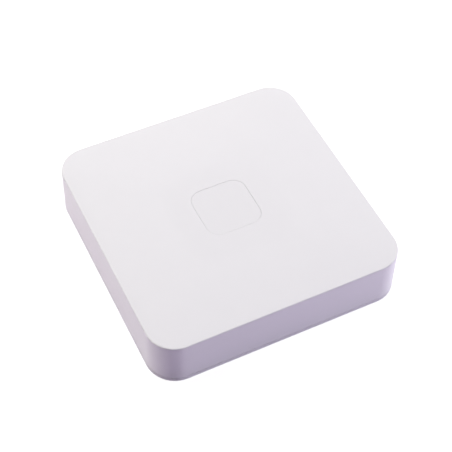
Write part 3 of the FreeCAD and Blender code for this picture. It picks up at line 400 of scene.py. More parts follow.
def rolled_metal(name, colour, roughness):
    """Sheet or wire with drawn streaks."""
    material, tree, shader = blank_material(name)
    surface = add(tree, "ShaderNodeGroup", node_tree=DRAWN_STREAKS).outputs
    tree.links.new(tint(tree, surface["Mottle"], colour, contrast=0.06), shader.inputs["Base Color"])
    spread(tree, surface["Streaks"], shader.inputs["Roughness"], middle=roughness, reach=0.08)
    bump(tree, shader, surface["Streaks"], depth=0.00001)
    shader.inputs["Metallic"].default_value = 1.0
    return material


def board_laminate(name, colour):
    """Solder mask, paler over the copper runs under it, and tinned vias."""
    paler, tin = 1.9, (0.62, 0.6, 0.55)
    material, tree, shader = blank_material(name)
    surface = add(tree, "ShaderNodeGroup", node_tree=MOULD_GRAIN).outputs
    copper = add(tree, "ShaderNodeGroup", node_tree=COPPER_TRACKS).outputs
    mask = tint(tree, surface["Mottle"], colour, contrast=0.12)
    over_copper = paint_over(tree, mask, tuple(part * paler for part in colour), copper["Tracks"])
    coloured = paint_over(tree, over_copper, tin, copper["Vias"])
    tree.links.new(coloured, shader.inputs["Base Color"])
    tree.links.new(copper["Vias"], shader.inputs["Metallic"])
    spread(tree, surface["Mottle"], shader.inputs["Roughness"], middle=0.32, reach=0.04)
    bump(tree, shader, maths(tree, "MAXIMUM", copper["Tracks"], copper["Vias"]), depth=0.00003)
    return material


def make_finishes():
    """Every finish by its slot; the last three are of pieces that the record has no slot for."""
    return {
        "cover_plastic": moulded(
            "white_cover_plastic", (0.86, 0.845, 0.86), 0.42, depth=0.000012, contrast=0.006
        ),
        "tray_plastic": moulded("white_tray_plastic", (0.84, 0.825, 0.845), 0.5, contrast=0.01),
        "foot_rubber": moulded(
            "grey_rubber", (0.27, 0.27, 0.28), 0.75, grain=1500.0, depth=0.00004, contrast=0.06
        ),
        "window_plastic": moulded(
            "window_plastic", (0.85, 0.835, 0.85), 0.38, depth=0.000006, contrast=0.003
        ),
        "guide_plastic": moulded("reflective_white", (0.88, 0.88, 0.87), 0.6),
        "screw_steel": rolled_metal("zinc_steel", (0.5, 0.51, 0.53), 0.38),
        "lamp_resin": moulded("yellow_resin", (0.86, 0.8, 0.42), 0.2, contrast=0.05),
        "board_laminate": board_laminate("green_board", (0.02, 0.12, 0.045)),
        "chip_resin": moulded("black_resin", (0.02, 0.02, 0.022), 0.55, contrast=0.12),
        "shield_metal": rolled_metal("tinned_sheet", (0.46, 0.47, 0.48), 0.42),
        "antenna_metal": rolled_metal("gilt_sheet", (0.66, 0.46, 0.19), 0.38),
        "capacitor_can": rolled_metal("drawn_aluminium", (0.52, 0.53, 0.55), 0.38),
        "ferrite": moulded("dark_ferrite", (0.045, 0.045, 0.05), 0.6, grain=5000.0, contrast=0.15),
        "ceramic": moulded("tan_ceramic", (0.42, 0.3, 0.18), 0.45, contrast=0.12),
        "socket_plastic": moulded("black_socket_plastic", (0.022, 0.022, 0.024), 0.45, contrast=0.1),
        "socket_steel": rolled_metal("nickel_sheet", (0.5, 0.49, 0.46), 0.36),
        "contact_gold": rolled_metal("gold_contacts", (0.72, 0.49, 0.18), 0.32),
        "lens_plastic": moulded("lamp_lens", (0.55, 0.62, 0.4), 0.2, contrast=0.05),
        "button_plastic": moulded("button_plastic", (0.62, 0.62, 0.64), 0.4, contrast=0.01),
        "capacitor_sleeve": moulded("dark_sleeve", (0.03, 0.035, 0.06), 0.3, contrast=0.08),
        "lamp_body": moulded("white_lamp_body", (0.8, 0.8, 0.78), 0.5),
        "solder": rolled_metal("bright_solder", (0.52, 0.52, 0.5), 0.32),
    }


FINISHES = make_finishes()


# Smooth shading and soft edges of the CAD nodes


def merge(tree, shape):
    """A mesh whose nearly equal points are one."""
    near_points = {"Geometry": shape, "Distance": JOIN_DISTANCE}
    return add(tree, "GeometryNodeMergeByDistance", near_points).outputs[0]


def shade_crisply(tree, shape):
    """Smooth shading up to a sharp angle."""
    smooth = add(tree, "GeometryNodeSetShadeSmooth", {"Geometry": shape}, domain="FACE").outputs[0]
    angle = add(tree, "GeometryNodeInputMeshEdgeAngle").outputs["Unsigned Angle"]
    limits = {"A": angle, "B": CRISP_ANGLE}
    sharp = add(tree, "FunctionNodeCompare", limits, operation="GREATER_THAN").outputs["Result"]
    edges = {"Geometry": smooth, "Selection": sharp, "Shade Smooth": False}
    return add(tree, "GeometryNodeSetShadeSmooth", edges, domain="EDGE").outputs[0]


def make_crisp_smoothing():
    """Joins a CAD node's loose triangles and shades them."""
    tree = bpy.data.node_groups.new("crisp_smoothing", "GeometryNodeTree")
    tree.interface.new_socket(name="Geometry", in_out="INPUT", socket_type="NodeSocketGeometry")
    tree.interface.new_socket(name="Geometry", in_out="OUTPUT", socket_type="NodeSocketGeometry")
    entry = add(tree, "NodeGroupInput").outputs[0]
    add(tree, "NodeGroupOutput", {0: shade_crisply(tree, merge(tree, entry))})
    return tree


# How far the edges of a node are rounded, in millimetres, where its own solid leaves them sharp
SOFT_EDGES = {
    "processor": 0.12,
    "memory_chip": 0.12,
    "flash_chip": 0.12,
    "voltage_regulators": 0.12,
    "network_transformer": 0.15,
    "pair_switch_body": 0.2,
    "reset_switch_body": 0.2,
    "pair_switch_plunger": 0.25,
    "reset_switch_plunger": 0.25,
    "pair_switch_bracket": 0.08,
    "reset_switch_bracket": 0.08,
    "network_jack_lights": 0.25,
    "network_jack_contacts": 0.12,
    "power_jack_body": 0.15,
    "light_guide": 0.2,
    "mesh_antenna": 0.08,
    "sensor_antenna": 0.08,
}


def finish_cad_nodes():
    """Gives the CAD nodes their finishes and smooth shading, and some of them soft edges."""
    crisp_smoothing = make_crisp_smoothing()
    for part in frame["record"]["subparts"]:
        item = nodes[part["node"]]
        for slot in item.material_slots:
            slot.material = FINISHES[part["material_slot"]]
        smoothing = item.modifiers.new("crisp_smoothing", "NODES")
        smoothing.node_group = crisp_smoothing
        if part["node"] in SOFT_EDGES:
            rounding = item.modifiers.new("soft_edges", "BEVEL")
            rounding.width = SOFT_EDGES[part["node"]] * MM
            rounding.segments = 2
            rounding.limit_method = "ANGLE"
            rounding.angle_limit = ROUNDED_ANGLE
            rounding.harden_normals = True


# Trees for what repeats, whose sizes are in millimetres apart from these counts
COUNTS = ("Columns", "Rows")


def start_tree(name, sizes):
    """A tree that takes a mesh, a material and named sizes; gives the tree and its inputs."""
    tree = bpy.data.node_groups.new(name, "GeometryNodeTree")
    tree.interface.new_socket(name="Geometry", in_out="INPUT", socket_type="NodeSocketGeometry")
    tree.interface.new_socket(name="Material", in_out="INPUT", socket_type="NodeSocketMaterial")
    for label in sizes:
        tree.interface.new_socket(name=label, in_out="INPUT", socket_type="NodeSocketFloat")
    tree.interface.new_socket(name="Geometry", in_out="OUTPUT", socket_type="NodeSocketGeometry")
    return tree, add(tree, "NodeGroupInput").outputs


def end_tree(tree, given, shape):
    """Shades the shape crisply, realizes it, gives it the material and puts it out."""
    crisp = shade_crisply(tree, shape)
    real = add(tree, "GeometryNodeRealizeInstances", {"Geometry": crisp}).outputs[0]
    finished = add(tree, "GeometryNodeSetMaterial", {"Geometry": real, "Material": given["Material"]})
    add(tree, "NodeGroupOutput", {0: finished.outputs[0]})
    return tree


def on_every_point(tree, given, shape):
    """Copies of a shape on the input's points, each turned as its point says."""
    turn = add(tree, "GeometryNodeInputNamedAttribute", {"Name": "turn"}, data_type="FLOAT_VECTOR")
    copies = add(
        tree,
        "GeometryNodeInstanceOnPoints",
        {"Points": given["Geometry"], "Instance": shape, "Rotation": turn.outputs["Attribute"]},
    )
    return add(tree, "GeometryNodeRealizeInstances", {"Geometry": copies.outputs[0]}).outputs[0]


def move(tree, shape, **offset):
    """A shape moved by x, y and z."""
    shift = {"Geometry": shape, "Translation": vector_of(tree, **offset)}
    return add(tree, "GeometryNodeTransform", shift).outputs[0]


def join(tree, *shapes):
    """Several shapes as one."""
    whole = add(tree, "GeometryNodeJoinGeometry")
    for shape in shapes:
        tree.links.new(shape, whole.inputs[0])
    return whole.outputs[0]


def cylinder(tree, radius, depth, sides, rings=1):
    """A cylinder about the Z axis, with rings on its two ends where they are to be bent."""
    return add(
        tree,
        "GeometryNodeMeshCylinder",
        {"Vertices": sides, "Fill Segments": rings, "Radius": radius, "Depth": depth},
        fill_type="TRIANGLE_FAN" if rings > 1 else "NGON",
    ).outputs["Mesh"]


def cut(tree, shape, cutters):
    """A shape with others taken out of it."""
    difference = add(tree, "GeometryNodeMeshBoolean", operation="DIFFERENCE", solver="MANIFOLD")
    tree.links.new(shape, difference.inputs["Mesh 1"])
    tree.links.new(cutters, difference.inputs["Mesh 2"])
    return difference.outputs["Mesh"]


def axis_distance(tree):
    """The squared distance of a place from the Z axis, and its height."""
    place = add(tree, "GeometryNodeInputPosition").outputs[0]
    parts = add(tree, "ShaderNodeSeparateXYZ", {0: place}).outputs
    squares = [maths(tree, "MULTIPLY", parts[name], parts[name]) for name in ("X", "Y")]
    return maths(tree, "ADD", *squares), parts["Z"]


def make_screw_tree():
    """A domed head below the point with a cross recess, and a threaded shank above it."""
    dome_share, recess_span, recess_width = 0.4, 1.15, 0.26
    core_share, ridge_share = 0.84, 0.16
    tree, given = start_tree("cross_head_screw", CASE_SCREW)
    radius, height, length = given["Head Radius"], given["Head Height"], given["Length"]
    distance, level = axis_distance(tree)
    share = maths(tree, "DIVIDE", distance, maths(tree, "MULTIPLY", radius, radius))
    rise = maths(tree, "MULTIPLY", share, maths(tree, "MULTIPLY", height, dome_share))
    outside = maths(tree, "LESS_THAN", level, 0.0)
    dome = vector_of(tree, z=maths(tree, "MULTIPLY", rise, outside))
    disc = cylinder(tree, radius, height, sides=32, rings=4)
    head = add(tree, "GeometryNodeSetPosition", {"Geometry": disc, "Offset": dome}).outputs[0]
    span, width = (maths(tree, "MULTIPLY", radius, part) for part in (recess_span, recess_width))
    for sizes in ({"x": span, "y": width}, {"x": width, "y": span}):
        bar = add(tree, "GeometryNodeMeshCube", {"Size": vector_of(tree, z=height, **sizes)}).outputs["Mesh"]
        head = cut(tree, head, move(tree, bar, z=maths(tree, "MULTIPLY", height, -0.5)))
    lowered = move(tree, merge(tree, head), z=maths(tree, "MULTIPLY", height, -0.5))
    core = maths(tree, "MULTIPLY", given["Shank Radius"], core_share)
    shank = cylinder(tree, core, length, sides=20)
    raised = move(tree, shank, z=maths(tree, "MULTIPLY", length, 0.5))
    coil = add(
        tree,
        "GeometryNodeCurveSpiral",
        {
            "Resolution": 20,
            "Rotations": maths(tree, "DIVIDE", length, given["Thread Pitch"]),
            "Start Radius": core,
            "End Radius": core,
            "Height": length,
        },
    )
    ridge = maths(tree, "MULTIPLY", given["Shank Radius"], ridge_share)
    profile = add(tree, "GeometryNodeCurvePrimitiveCircle", {"Resolution": 3, "Radius": ridge})
    thread = add(
        tree,
        "GeometryNodeCurveToMesh",
        {"Curve": coil.outputs[0], "Profile Curve": profile.outputs[0], "Fill Caps": True},
    )
    screw = join(tree, lowered, raised, thread.outputs[0])
    return end_tree(tree, given, on_every_point(tree, given, screw))


def make_lead_tree():
    """A flat lead that leaves its point along Y and bends down to a foot."""
    near_share, far_share = 0.15, 0.75
    tree, given = start_tree("bent_lead", ("Reach", "Rise", "Width", "Thickness"))
    near, far = (maths(tree, "MULTIPLY", given["Reach"], share) for share in (near_share, far_share))
    bend = add(
        tree,
        "GeometryNodeCurvePrimitiveBezierSegment",
        {
            "Resolution": 7,
            "Start": vector_of(tree, z=given["Rise"]),
            "Start Handle": vector_of(tree, y=far, z=given["Rise"]),
            "End Handle": vector_of(tree, y=near),
            "End": vector_of(tree, y=given["Reach"]),
        },
    )
    flat = add(
        tree,
        "GeometryNodeCurvePrimitiveQuadrilateral",
        {"Width": given["Thickness"], "Height": given["Width"]},
    )
    lead = add(
        tree,
        "GeometryNodeCurveToMesh",
        {"Curve": bend.outputs[0], "Profile Curve": flat.outputs[0], "Fill Caps": True},
    )
    return end_tree(tree, given, on_every_point(tree, given, lead.outputs[0]))


def make_block_tree():
    """A small block on its point with rounded corners and a bevelled top."""
    tree, given = start_tree("bevelled_block", ("Length", "Width", "Height", "Corner", "Bevel"))
    outline = add(
        tree,
        "GeometryNodeCurvePrimitiveQuadrilateral",
        {"Width": given["Length"], "Height": given["Width"]},
    )
    rounded = add(
        tree,
        "GeometryNodeFilletCurve",
        {"Curve": outline.outputs[0], "Radius": given["Corner"], "Count": 3},
        mode="POLY",
    )
    face = add(tree, "GeometryNodeFillCurve", {"Curve": rounded.outputs[0]}, mode="NGONS").outputs[0]
    wall = maths(tree, "SUBTRACT", given["Height"], given["Bevel"])
    sides = add(
        tree,
        "GeometryNodeExtrudeMesh",
        {"Mesh": face, "Offset": vector_of(tree, z=wall), "Offset Scale": 1.0, "Individual": False},
    )
    top = add(
        tree,
        "GeometryNodeExtrudeMesh",
        {
            "Mesh": sides.outputs["Mesh"],
            "Selection": sides.outputs["Top"],
            "Offset": vector_of(tree, z=given["Bevel"]),
            "Offset Scale": 1.0,
            "Individual": False,
        },
    )
    place = add(tree, "GeometryNodeInputPosition").outputs[0]
    parts = add(tree, "ShaderNodeSeparateXYZ", {0: place}).outputs
    inward = maths(tree, "MULTIPLY", given["Bevel"], -1.0)
    inset = [maths(tree, "MULTIPLY", maths(tree, "SIGN", parts[name]), inward) for name in ("X", "Y")]
    shift = vector_of(tree, *inset)
    shrunk = add(
        tree,
        "GeometryNodeSetPosition",
        {"Geometry": top.outputs["Mesh"], "Selection": top.outputs["Top"], "Offset": shift},
    ).outputs[0]
    bottom = add(tree, "GeometryNodeFlipFaces", {"Mesh": face}).outputs[0]
    block = merge(tree, join(tree, shrunk, bottom))
    return end_tree(tree, given, on_every_point(tree, given, block))


def make_solder_tree():
    """A concave fillet of solder round a pin, which stands up from its point."""
    steepness = 3.0
    tree, given = start_tree("solder_joint", ("Pad Radius", "Pin Radius", "Height"))
    place = add(tree, "GeometryNodeInputPosition").outputs[0]
    level = add(tree, "ShaderNodeSeparateXYZ", {0: place}).outputs["Z"]
    share = maths(tree, "DIVIDE", level, given["Height"])
    fallen = maths(tree, "POWER", maths(tree, "SUBTRACT", 1.0, share), steepness)
    spare = maths(tree, "SUBTRACT", given["Pad Radius"], given["Pin Radius"])
    radius = maths(tree, "ADD", given["Pin Radius"], maths(tree, "MULTIPLY", fallen, spare))
    squeeze = maths(tree, "DIVIDE", radius, given["Pad Radius"])
    upright = add(
        tree,
        "GeometryNodeMeshCylinder",
        {"Vertices": 12, "Side Segments": 4, "Radius": given["Pad Radius"], "Depth": given["Height"]},
    )
    raised = move(tree, upright.outputs["Mesh"], z=maths(tree, "MULTIPLY", given["Height"], 0.5))
    waist = vector_of(tree, squeeze, squeeze, 1.0)
    squeezed = add(tree, "ShaderNodeVectorMath", {0: place, 1: waist}, operation="MULTIPLY").outputs[0]
    joint = add(tree, "GeometryNodeSetPosition", {"Geometry": raised, "Position": squeezed}).outputs[0]
    return end_tree(tree, given, on_every_point(tree, given, joint))


def make_punching_tree():
    """Rows of round holes punched through the lid of the mesh that comes in."""
    punch_depth = 1.2 * MM
    tree, given = start_tree(
        "punched_lid", (*COUNTS, "Pitch", "Hole Radius", "Middle X", "Middle Y", "Lid Height")
    )
    columns, rows = (given[count] for count in COUNTS)
    width, depth = (
        maths(tree, "MULTIPLY", maths(tree, "SUBTRACT", count, 1.0), given["Pitch"])
        for count in (columns, rows)
    )
    grid = add(
        tree,
        "GeometryNodeMeshGrid",
        {"Size X": width, "Size Y": depth, "Vertices X": columns, "Vertices Y": rows},
    )
    punch = cylinder(tree, given["Hole Radius"], punch_depth, sides=12)
    punches = add(
        tree, "GeometryNodeInstanceOnPoints", {"Points": grid.outputs["Mesh"], "Instance": punch}
    )
    real = add(tree, "GeometryNodeRealizeInstances", {"Geometry": punches.outputs[0]}).outputs[0]
    placed = move(tree, real, x=given["Middle X"], y=given["Middle Y"], z=given["Lid Height"])
    return end_tree(tree, given, cut(tree, given["Geometry"], placed))


def grow(name, tree, mesh, sizes, finish, replaced=()):
    """Runs a tree on a mesh, with sizes in millimetres or counts, and keeps the result as a plain piece."""
    item = new_object(name, mesh)
    modifier = item.modifiers.new("grow", "NODES")
    modifier.node_group = tree
    sockets = {socket.name: socket.identifier for socket in tree.interface.items_tree}
    modifier[sockets["Material"]] = FINISHES[finish]
    for label, value in sizes.items():
        modifier[sockets[label]] = float(value) if label in COUNTS else value * MM
    whole = item.evaluated_get(bpy.context.evaluated_depsgraph_get())
    grown = bpy.data.meshes.new_from_object(whole)
    item.modifiers.clear()
    item.data = grown
    grown.name = name
    settle(item, replaced)


def points(*placed):
    """A mesh of bare points, each given as a place and a turn."""
    mesh = bpy.data.meshes.new("points")
    mesh.from_pydata([place for place, _ in placed], [], [])
    turns = mesh.attributes.new("turn", "FLOAT_VECTOR", "POINT")
    for entry, (_, turn) in zip(turns.data, placed):
        entry.vector = turn
    return mesh


def line_of(count, pitch):
    """Offsets of a row of things about its middle."""
    return [(index - (count - 1) / 2) * pitch for index in range(count)]


# Meshes made of rings


def ring(width, depth, corner, level, steps=6):
    """Points round a rounded rectangle at a height, anticlockwise from above."""
    placed = []
    for quarter, (side_x, side_y) in enumerate(((1, 1), (-1, 1), (-1, -1), (1, -1))):
        for step in range(steps + 1):
            angle = math.pi / 2 * (quarter + step / steps)
            x = side_x * (width / 2 - corner) + corner * math.cos(angle)
            y = side_y * (depth / 2 - corner) + corner * math.sin(angle)
            placed.append((x, y, level))
    return placed


def circle(radius, level, steps=12):
    """Points round a circle at a height, with so many steps to a quarter."""
    return ring(2 * radius, 2 * radius, radius, level, steps)


def circles(*profile):
    """A turned shape, from the radius and the height of each of its rings."""
    return [circle(radius, level) for radius, level in profile]


def loft(rings, place, closed=False):
    """A skin over rings in millimetres, set at a place in metres; it has two caps, or closes on itself."""
    shape = bmesh.new()
    loops = [[shape.verts.new(Vector(point) * MM + place) for point in points] for points in rings]
    pairs = list(zip(loops, loops[1:]))
    if closed:
        pairs.append((loops[-1], loops[0]))
    else:
        shape.faces.new(list(reversed(loops[0])))
        shape.faces.new(loops[-1])
    for low, high in pairs:
        for index in range(len(low)):
            after = (index + 1) % len(low)
            shape.faces.new((low[index], low[after], high[after], high[index]))
    bmesh.ops.remove_doubles(shape, verts=shape.verts, dist=LOFT_JOIN_DISTANCE)
    return shape


def face_the_rear(shape, place):
    """Turns a shape about a place, so that its up becomes the hub's rear."""
    bmesh.ops.rotate(shape, cent=place, matrix=Matrix.Rotation(-math.pi / 2, 3, "X"), verts=shape.verts)
    return shape


def make_piece(name, shapes, finish, replaced=(), body="housing"):
    """One piece from several shapes, shaded smooth up to a sharp angle."""
    whole = bpy.data.meshes.new(name)
    gathered = bmesh.new()
    for shape in shapes:
        shape.to_mesh(whole)
        gathered.from_mesh(whole)
        shape.free()
    gathered.to_mesh(whole)
    gathered.free()
    whole.shade_smooth()
    whole.set_sharp_from_angle(angle=CRISP_ANGLE)
    whole.materials.append(FINISHES[finish])
    settle(new_object(name, whole), replaced, body)


# Pieces outside


def make_feet():
    """Rubber discs with a soft rim and two shallow grip rings underneath."""
    rings = circles(
        (2.3, 0.12), (2.4, 0.0), (3.4, 0.0), (3.5, 0.12), (4.1, 0.12), (4.2, 0.0),
        (5.4, 0.0), (5.75, 0.1), (5.93, 0.28), (6.0, 0.5), (6.0, 1.3),
    )
    for end in ("front", "rear"):
        for side in ("left", "right"):
            node = f"foot_{end}_{side}"
            place = middle_of(node)
            place.z = 0
            make_piece(f"rubber_{node}", [loft(rings, place)], "foot_rubber", [node])


def make_button():
    """The pairing button, with a rounded rim and a shallow dish for the fingertip."""
    place = middle_of("pair_button")
    place.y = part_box("pair_button")[0].y
    rings = circles(
        (1.5, 0.0), (1.5, 0.84), (4.1, 0.84), (4.1, 1.94), (3.0, 1.94), (3.0, 4.02), (2.95, 4.22),
        (2.82, 4.35), (2.6, 4.4), (2.2, 4.38), (1.5, 4.28), (0.7, 4.22),
    )
    button = face_the_rear(loft(rings, place), place)
    make_piece("dished_button", [button], "button_plastic", ["pair_button"], "pair_button")


def make_power_pin():
    """The centre pin of the power socket, with a round nose."""
    place = middle_of("power_jack_pin")
    place.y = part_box("power_jack_pin")[0].y
    rings = circles(
        (1.5, 0.0), (1.5, 2.0), (1.0, 2.0), (1.0, 10.7), (0.93, 10.95), (0.72, 11.13), (0.4, 11.2)
    )
    pin = face_the_rear(loft(rings, place), place)
    make_piece("round_nosed_pin", [pin], "socket_steel", ["power_jack_pin"])


def make_screws():
    """The case screws, whose heads are at the bottom, and the board screws, whose heads are on top."""
    tree = make_screw_tree()
    low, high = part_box("case_screws")
    across = CASE_SCREW["Head Radius"] * MM
    seat = low.z + CASE_SCREW["Head Height"] * MM
    middle_y = (low.y + high.y) / 2
    places = [((x, middle_y, seat), UPRIGHT) for x in (low.x + across, high.x - across)]
    grow("threaded_case_screws", tree, points(*places), CASE_SCREW, "screw_steel", ["case_screws"])
    low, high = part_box("board_screws")
    across = BOARD_SCREW["Head Radius"] * MM
    seat = high.z - BOARD_SCREW["Head Height"] * MM
    ends = [(low.x + across, low.y + across, seat), (high.x - across, high.y - across, seat)]
    places = [(end, HEAD_UP) for end in ends]
    grow("threaded_board_screws", tree, points(*places), BOARD_SCREW, "screw_steel", ["board_screws"])


# Pieces on the circuit board


def make_capacitors():
    """Two aluminium cans with a rolled bead and a sunk top, each in a dark sleeve."""
    low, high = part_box("filter_capacitors")
    radius = (high.y - low.y) / 2
    can = circles(
        (3.4, 0.0), (3.8, 0.25), (3.85, 1.2), (3.55, 1.5), (3.55, 1.7), (3.85, 2.0),
        (3.85, 8.7), (3.7, 8.95), (3.45, 9.0), (3.2, 8.8), (1.0, 8.8),
    )
    sleeve = circles(
        (3.9, 0.4), (3.95, 1.2), (3.68, 1.55), (3.68, 1.65), (4.0, 2.0), (4.0, 8.6),
        (3.8, 8.9), (3.5, 8.97), (3.45, 8.9), (3.7, 8.7),
    )
    places = [Vector((x, low.y + radius, low.z)) for x in (low.x + radius, high.x - radius)]
    cans = [loft(can, place) for place in places]
    sleeves = [loft(sleeve, place, closed=True) for place in places]
    make_piece("capacitor_cans", cans, "capacitor_can", ["filter_capacitors"])
    make_piece("capacitor_sleeves", sleeves, "capacitor_sleeve")


def make_inductor():
    """A ferrite block with a round well and the drum that stands in it."""
    place = middle_of("power_inductor")
    place.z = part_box("power_inductor")[0].z
    block = [ring(7.3, 7.3, 1.2, 0.0), ring(7.3, 7.3, 1.2, 3.9), ring(6.9, 6.9, 1.1, 4.2)]
    well_and_drum = ((2.95, 4.2), (2.95, 2.6), (2.4, 2.6), (2.4, 4.0), (2.2, 4.15))
    rings = block + [circle(radius, level, 6) for radius, level in well_and_drum]
    make_piece("drum_inductor", [loft(rings, place)], "ferrite", ["power_inductor"])


def make_crystal():
    """A drawn can with a flange round its foot."""
    place = middle_of("crystal")
    place.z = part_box("crystal")[0].z
    flange = ((4.6, 11.0, 0.0), (4.6, 11.0, 0.35))
    can = ((4.0, 10.4, 0.45), (4.0, 10.4, 3.0), (3.8, 10.2, 3.3), (3.4, 9.8, 3.4))
    rings = [ring(width, length, width / 2, level) for width, length, level in flange + can]
    make_piece("crystal_can", [loft(rings, place)], "shield_metal", ["crystal"])


def make_passives(block_tree):
    """Two rows of ceramic chips with a tinned cap on both ends."""
    half_width, half_length, cap_middle = 0.4 * MM, 0.8 * MM, 0.65 * MM
    columns, pitch = 8, 3.4 * MM
    low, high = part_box("board_passives")
    middles = [
        (low.x + half_width + column * pitch, y, low.z)
        for column in range(columns)
        for y in (low.y + half_length, high.y - half_length)
    ]
    body = {"Length": 0.76, "Width": 1.1, "Height": 0.57, "Corner": 0.04, "Bevel": 0.05}
    cap = {"Length": 0.8, "Width": 0.3, "Height": 0.6, "Corner": 0.04, "Bevel": 0.05}
    bodies = points(*((place, UPRIGHT) for place in middles))
    grow("ceramic_chips", block_tree, bodies, body, "ceramic", ["board_passives"])
    ends = [((x, y + side * cap_middle, z), UPRIGHT) for x, y, z in middles for side in (-1, 1)]
    grow("tinned_ends", block_tree, points(*ends), cap, "solder")


def make_lamps(block_tree):
    """Four lamps: a white body with a low lens on it."""
    body = {"Length": 2.8, "Width": 2.8, "Height": 0.9, "Corner": 0.2, "Bevel": 0.08}
    lens = {"Length": 2.0, "Width": 2.0, "Height": 0.5, "Corner": 0.95, "Bevel": 0.28}
    low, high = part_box("status_leds")
    half = body["Length"] / 2 * MM
    lens_foot = low.z + body["Height"] * MM
    middles = [(x, y) for x in (low.x + half, high.x - half) for y in (low.y + half, high.y - half)]
    bodies = points(*(((x, y, low.z), UPRIGHT) for x, y in middles))
    grow("lamp_bodies", block_tree, bodies, body, "lamp_body", ["status_leds"])
    lenses = points(*(((x, y, lens_foot), UPRIGHT) for x, y in middles))
    grow("lamp_lenses", block_tree, lenses, lens, "lamp_resin")


def grow_leads(tree, node, sizes, turns, count, pitch, inset=None):
    """Rows of leads on one chip, or on two whose middles are inset in millimetres from their node's ends."""
    low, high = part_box(node)
    base = low.z + sizes["Thickness"] / 2 * MM
    middles = [(low.x + high.x) / 2] if inset is None else [low.x + inset * MM, high.x - inset * MM]
    places = [
        ((middle + offset * MM, high.y if turn is UPRIGHT else low.y, base), turn)
        for middle in middles
        for turn in turns
        for offset in line_of(count, pitch)
    ]
    grow(f"{node}_leads", tree, points(*places), sizes, "solder")


def make_leads():
    """The bent leads of the memory chip, the flash chip and the two regulators."""
    tree = make_lead_tree()
    both_sides = (UPRIGHT, TURNED_ROUND)
    fine = {"Reach": 0.9, "Rise": 0.55, "Width": 0.35, "Thickness": 0.15}
    wider = {"Reach": 1.0, "Rise": 0.55, "Width": 0.42, "Thickness": 0.18}
    heavy = {"Reach": 1.0, "Rise": 0.7, "Width": 0.8, "Thickness": 0.25}
    grow_leads(tree, "memory_chip", fine, both_sides, count=12, pitch=1.1)
    grow_leads(tree, "flash_chip", wider, both_sides, count=4, pitch=1.27)
    grow_leads(tree, "voltage_regulators", heavy, [TURNED_ROUND], count=3, pitch=2.2, inset=3.0)


def make_edge_pads(block_tree):
    """Plated pads along the long edges of the two radio boards."""
    pads, pitch, inset = 11, 2.0, 0.2 * MM
    pad = {"Length": 0.6, "Width": 1.0, "Height": 1.03, "Corner": 0.1, "Bevel": 0.03}
    places = []
    for node in ("mesh_radio_board", "sensor_radio_board"):
        low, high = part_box(node)
        middle_y = (low.y + high.y) / 2
        for x in (low.x + inset, high.x - inset):
            places += [((x, middle_y + offset * MM, low.z), UPRIGHT) for offset in line_of(pads, pitch)]
    grow("radio_edge_pads", block_tree, points(*places), pad, "contact_gold")


def make_test_pads(block_tree):
    """Two columns of round test pads near the right edge of the main board."""
    edge_gap, pitch, pads, middle_y = 4.0, 2.54, 6, -20 * MM
    pad = {"Length": 1.3, "Width": 1.3, "Height": 0.04, "Corner": 0.6, "Bevel": 0.01}
    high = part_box("main_board")[1]
    places = [
        ((high.x - (edge_gap + column) * MM, middle_y + offset * MM, high.z), UPRIGHT)
        for column in (0.0, pitch)
        for offset in line_of(pads, pitch)
    ]
    grow("board_test_pads", block_tree, points(*places), pad, "contact_gold")


def either_side(place, x=0.0, y=0.0):
    """Two spots at equal distances in millimetres on both sides of a place."""
    return [(place.x + side * x * MM, place.y + side * y * MM) for side in (-1, 1)]


def soldered_spots():
    """The spots where the sockets, switches, cans and crystal go through the board."""
    jack, power = middle_of("network_jack_shell"), middle_of("power_jack_body")
    contacts, contact_pitch, first_row, row_gap = 8, 1.27, 4.5, 2.54
    spots = [
        (jack.x + offset * MM, jack.y - (first_row + row_gap * (index % 2)) * MM)
        for index, offset in enumerate(line_of(contacts, contact_pitch))
    ]
    spots += either_side(jack, x=7.6)
    for right, forward in ((0.0, 6.0), (0.0, 0.0), (3.6, 3.0)):
        spots.append((power.x + right * MM, power.y - forward * MM))
    for node in ("pair_switch_body", "reset_switch_body"):
        spots += either_side(middle_of(node), x=2.5)
    low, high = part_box("filter_capacitors")
    can_radius = 4.0 * MM
    for x in (low.x + can_radius, high.x - can_radius):
        spots += either_side(Vector((x, (low.y + high.y) / 2)), x=1.75)
    return spots + either_side(middle_of("crystal"), y=2.4)


def make_solder_joints():
    """Fillets of solder under the board, round every pin that goes through it."""
    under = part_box("main_board")[0].z
    sizes = {"Pad Radius": 0.85, "Pin Radius": 0.3, "Height": 1.1}
    places = [((x, y, under), HEAD_UP) for x, y in soldered_spots()]
    grow("solder_joints", make_solder_tree(), points(*places), sizes, "solder")


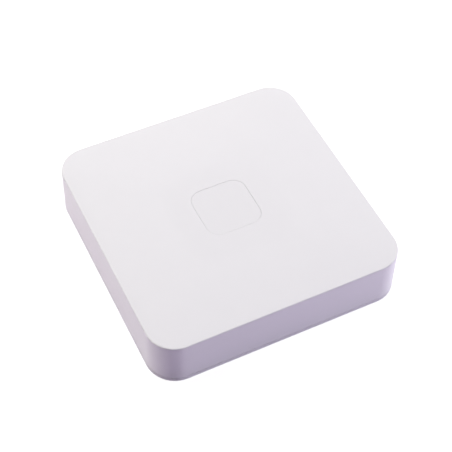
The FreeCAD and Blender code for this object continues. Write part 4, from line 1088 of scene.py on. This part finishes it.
def merged_copy(node):
    """A copy of a CAD node's mesh with its loose triangles joined."""
    shape = bmesh.new()
    shape.from_mesh(nodes[node].data)
    bmesh.ops.remove_doubles(shape, verts=shape.verts, dist=JOIN_DISTANCE)
    mesh = bpy.data.meshes.new(f"joined_{node}")
    shape.to_mesh(mesh)
    shape.free()
    return mesh


def make_punched_shields():
    """The three screening cans, with rows of round holes in their lids."""
    tree = make_punching_tree()
    holes = {"processor_shield": (7, 12), "mesh_radio_shield": (5, 5), "sensor_radio_shield": (5, 5)}
    for node, (columns, rows) in holes.items():
        centre = middle_of(node)
        sizes = {
            "Columns": columns,
            "Rows": rows,
            "Pitch": 2.6,
            "Hole Radius": 0.6,
            "Middle X": centre.x / MM,
            "Middle Y": centre.y / MM,
            "Lid Height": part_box(node)[1].z / MM,
        }
        grow(f"punched_{node}", tree, merged_copy(node), sizes, "shield_metal", [node])


def make_board_marks():
    """Thin printed outlines round the larger parts of the board."""
    margin_x, margin_y, corner, line, ink = 1.6, 2.6, 0.8, 0.2, 0.03
    marked = (
        "processor_shield",
        "power_inductor",
        "filter_capacitors",
        "voltage_regulators",
        "flash_chip",
        "crystal",
        "network_transformer",
        "board_passives",
    )
    outlines = []
    for node in marked:
        low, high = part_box(node)
        width, depth = (high.x - low.x) / MM + margin_x, (high.y - low.y) / MM + margin_y
        outer, inner = (width, depth, corner), (width - 2 * line, depth - 2 * line, corner - line)
        rings = [ring(*outer, 0.0), ring(*outer, ink), ring(*inner, ink), ring(*inner, 0.0)]
        place = (low + high) / 2
        place.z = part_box("main_board")[1].z
        outlines.append(loft(rings, place, closed=True))
    make_piece("board_outlines", outlines, "lamp_body")


bpy.context.scene.view_settings.view_transform = "Standard"
make_camera()
make_world()
make_floor()
light_the_studio()
finish_cad_nodes()
make_feet()
make_button()
make_power_pin()
make_screws()
make_capacitors()
make_inductor()
make_crystal()
block_tree = make_block_tree()
make_passives(block_tree)
make_lamps(block_tree)
make_leads()
make_edge_pads(block_tree)
make_test_pads(block_tree)
make_solder_joints()
make_punched_shields()
make_board_marks()
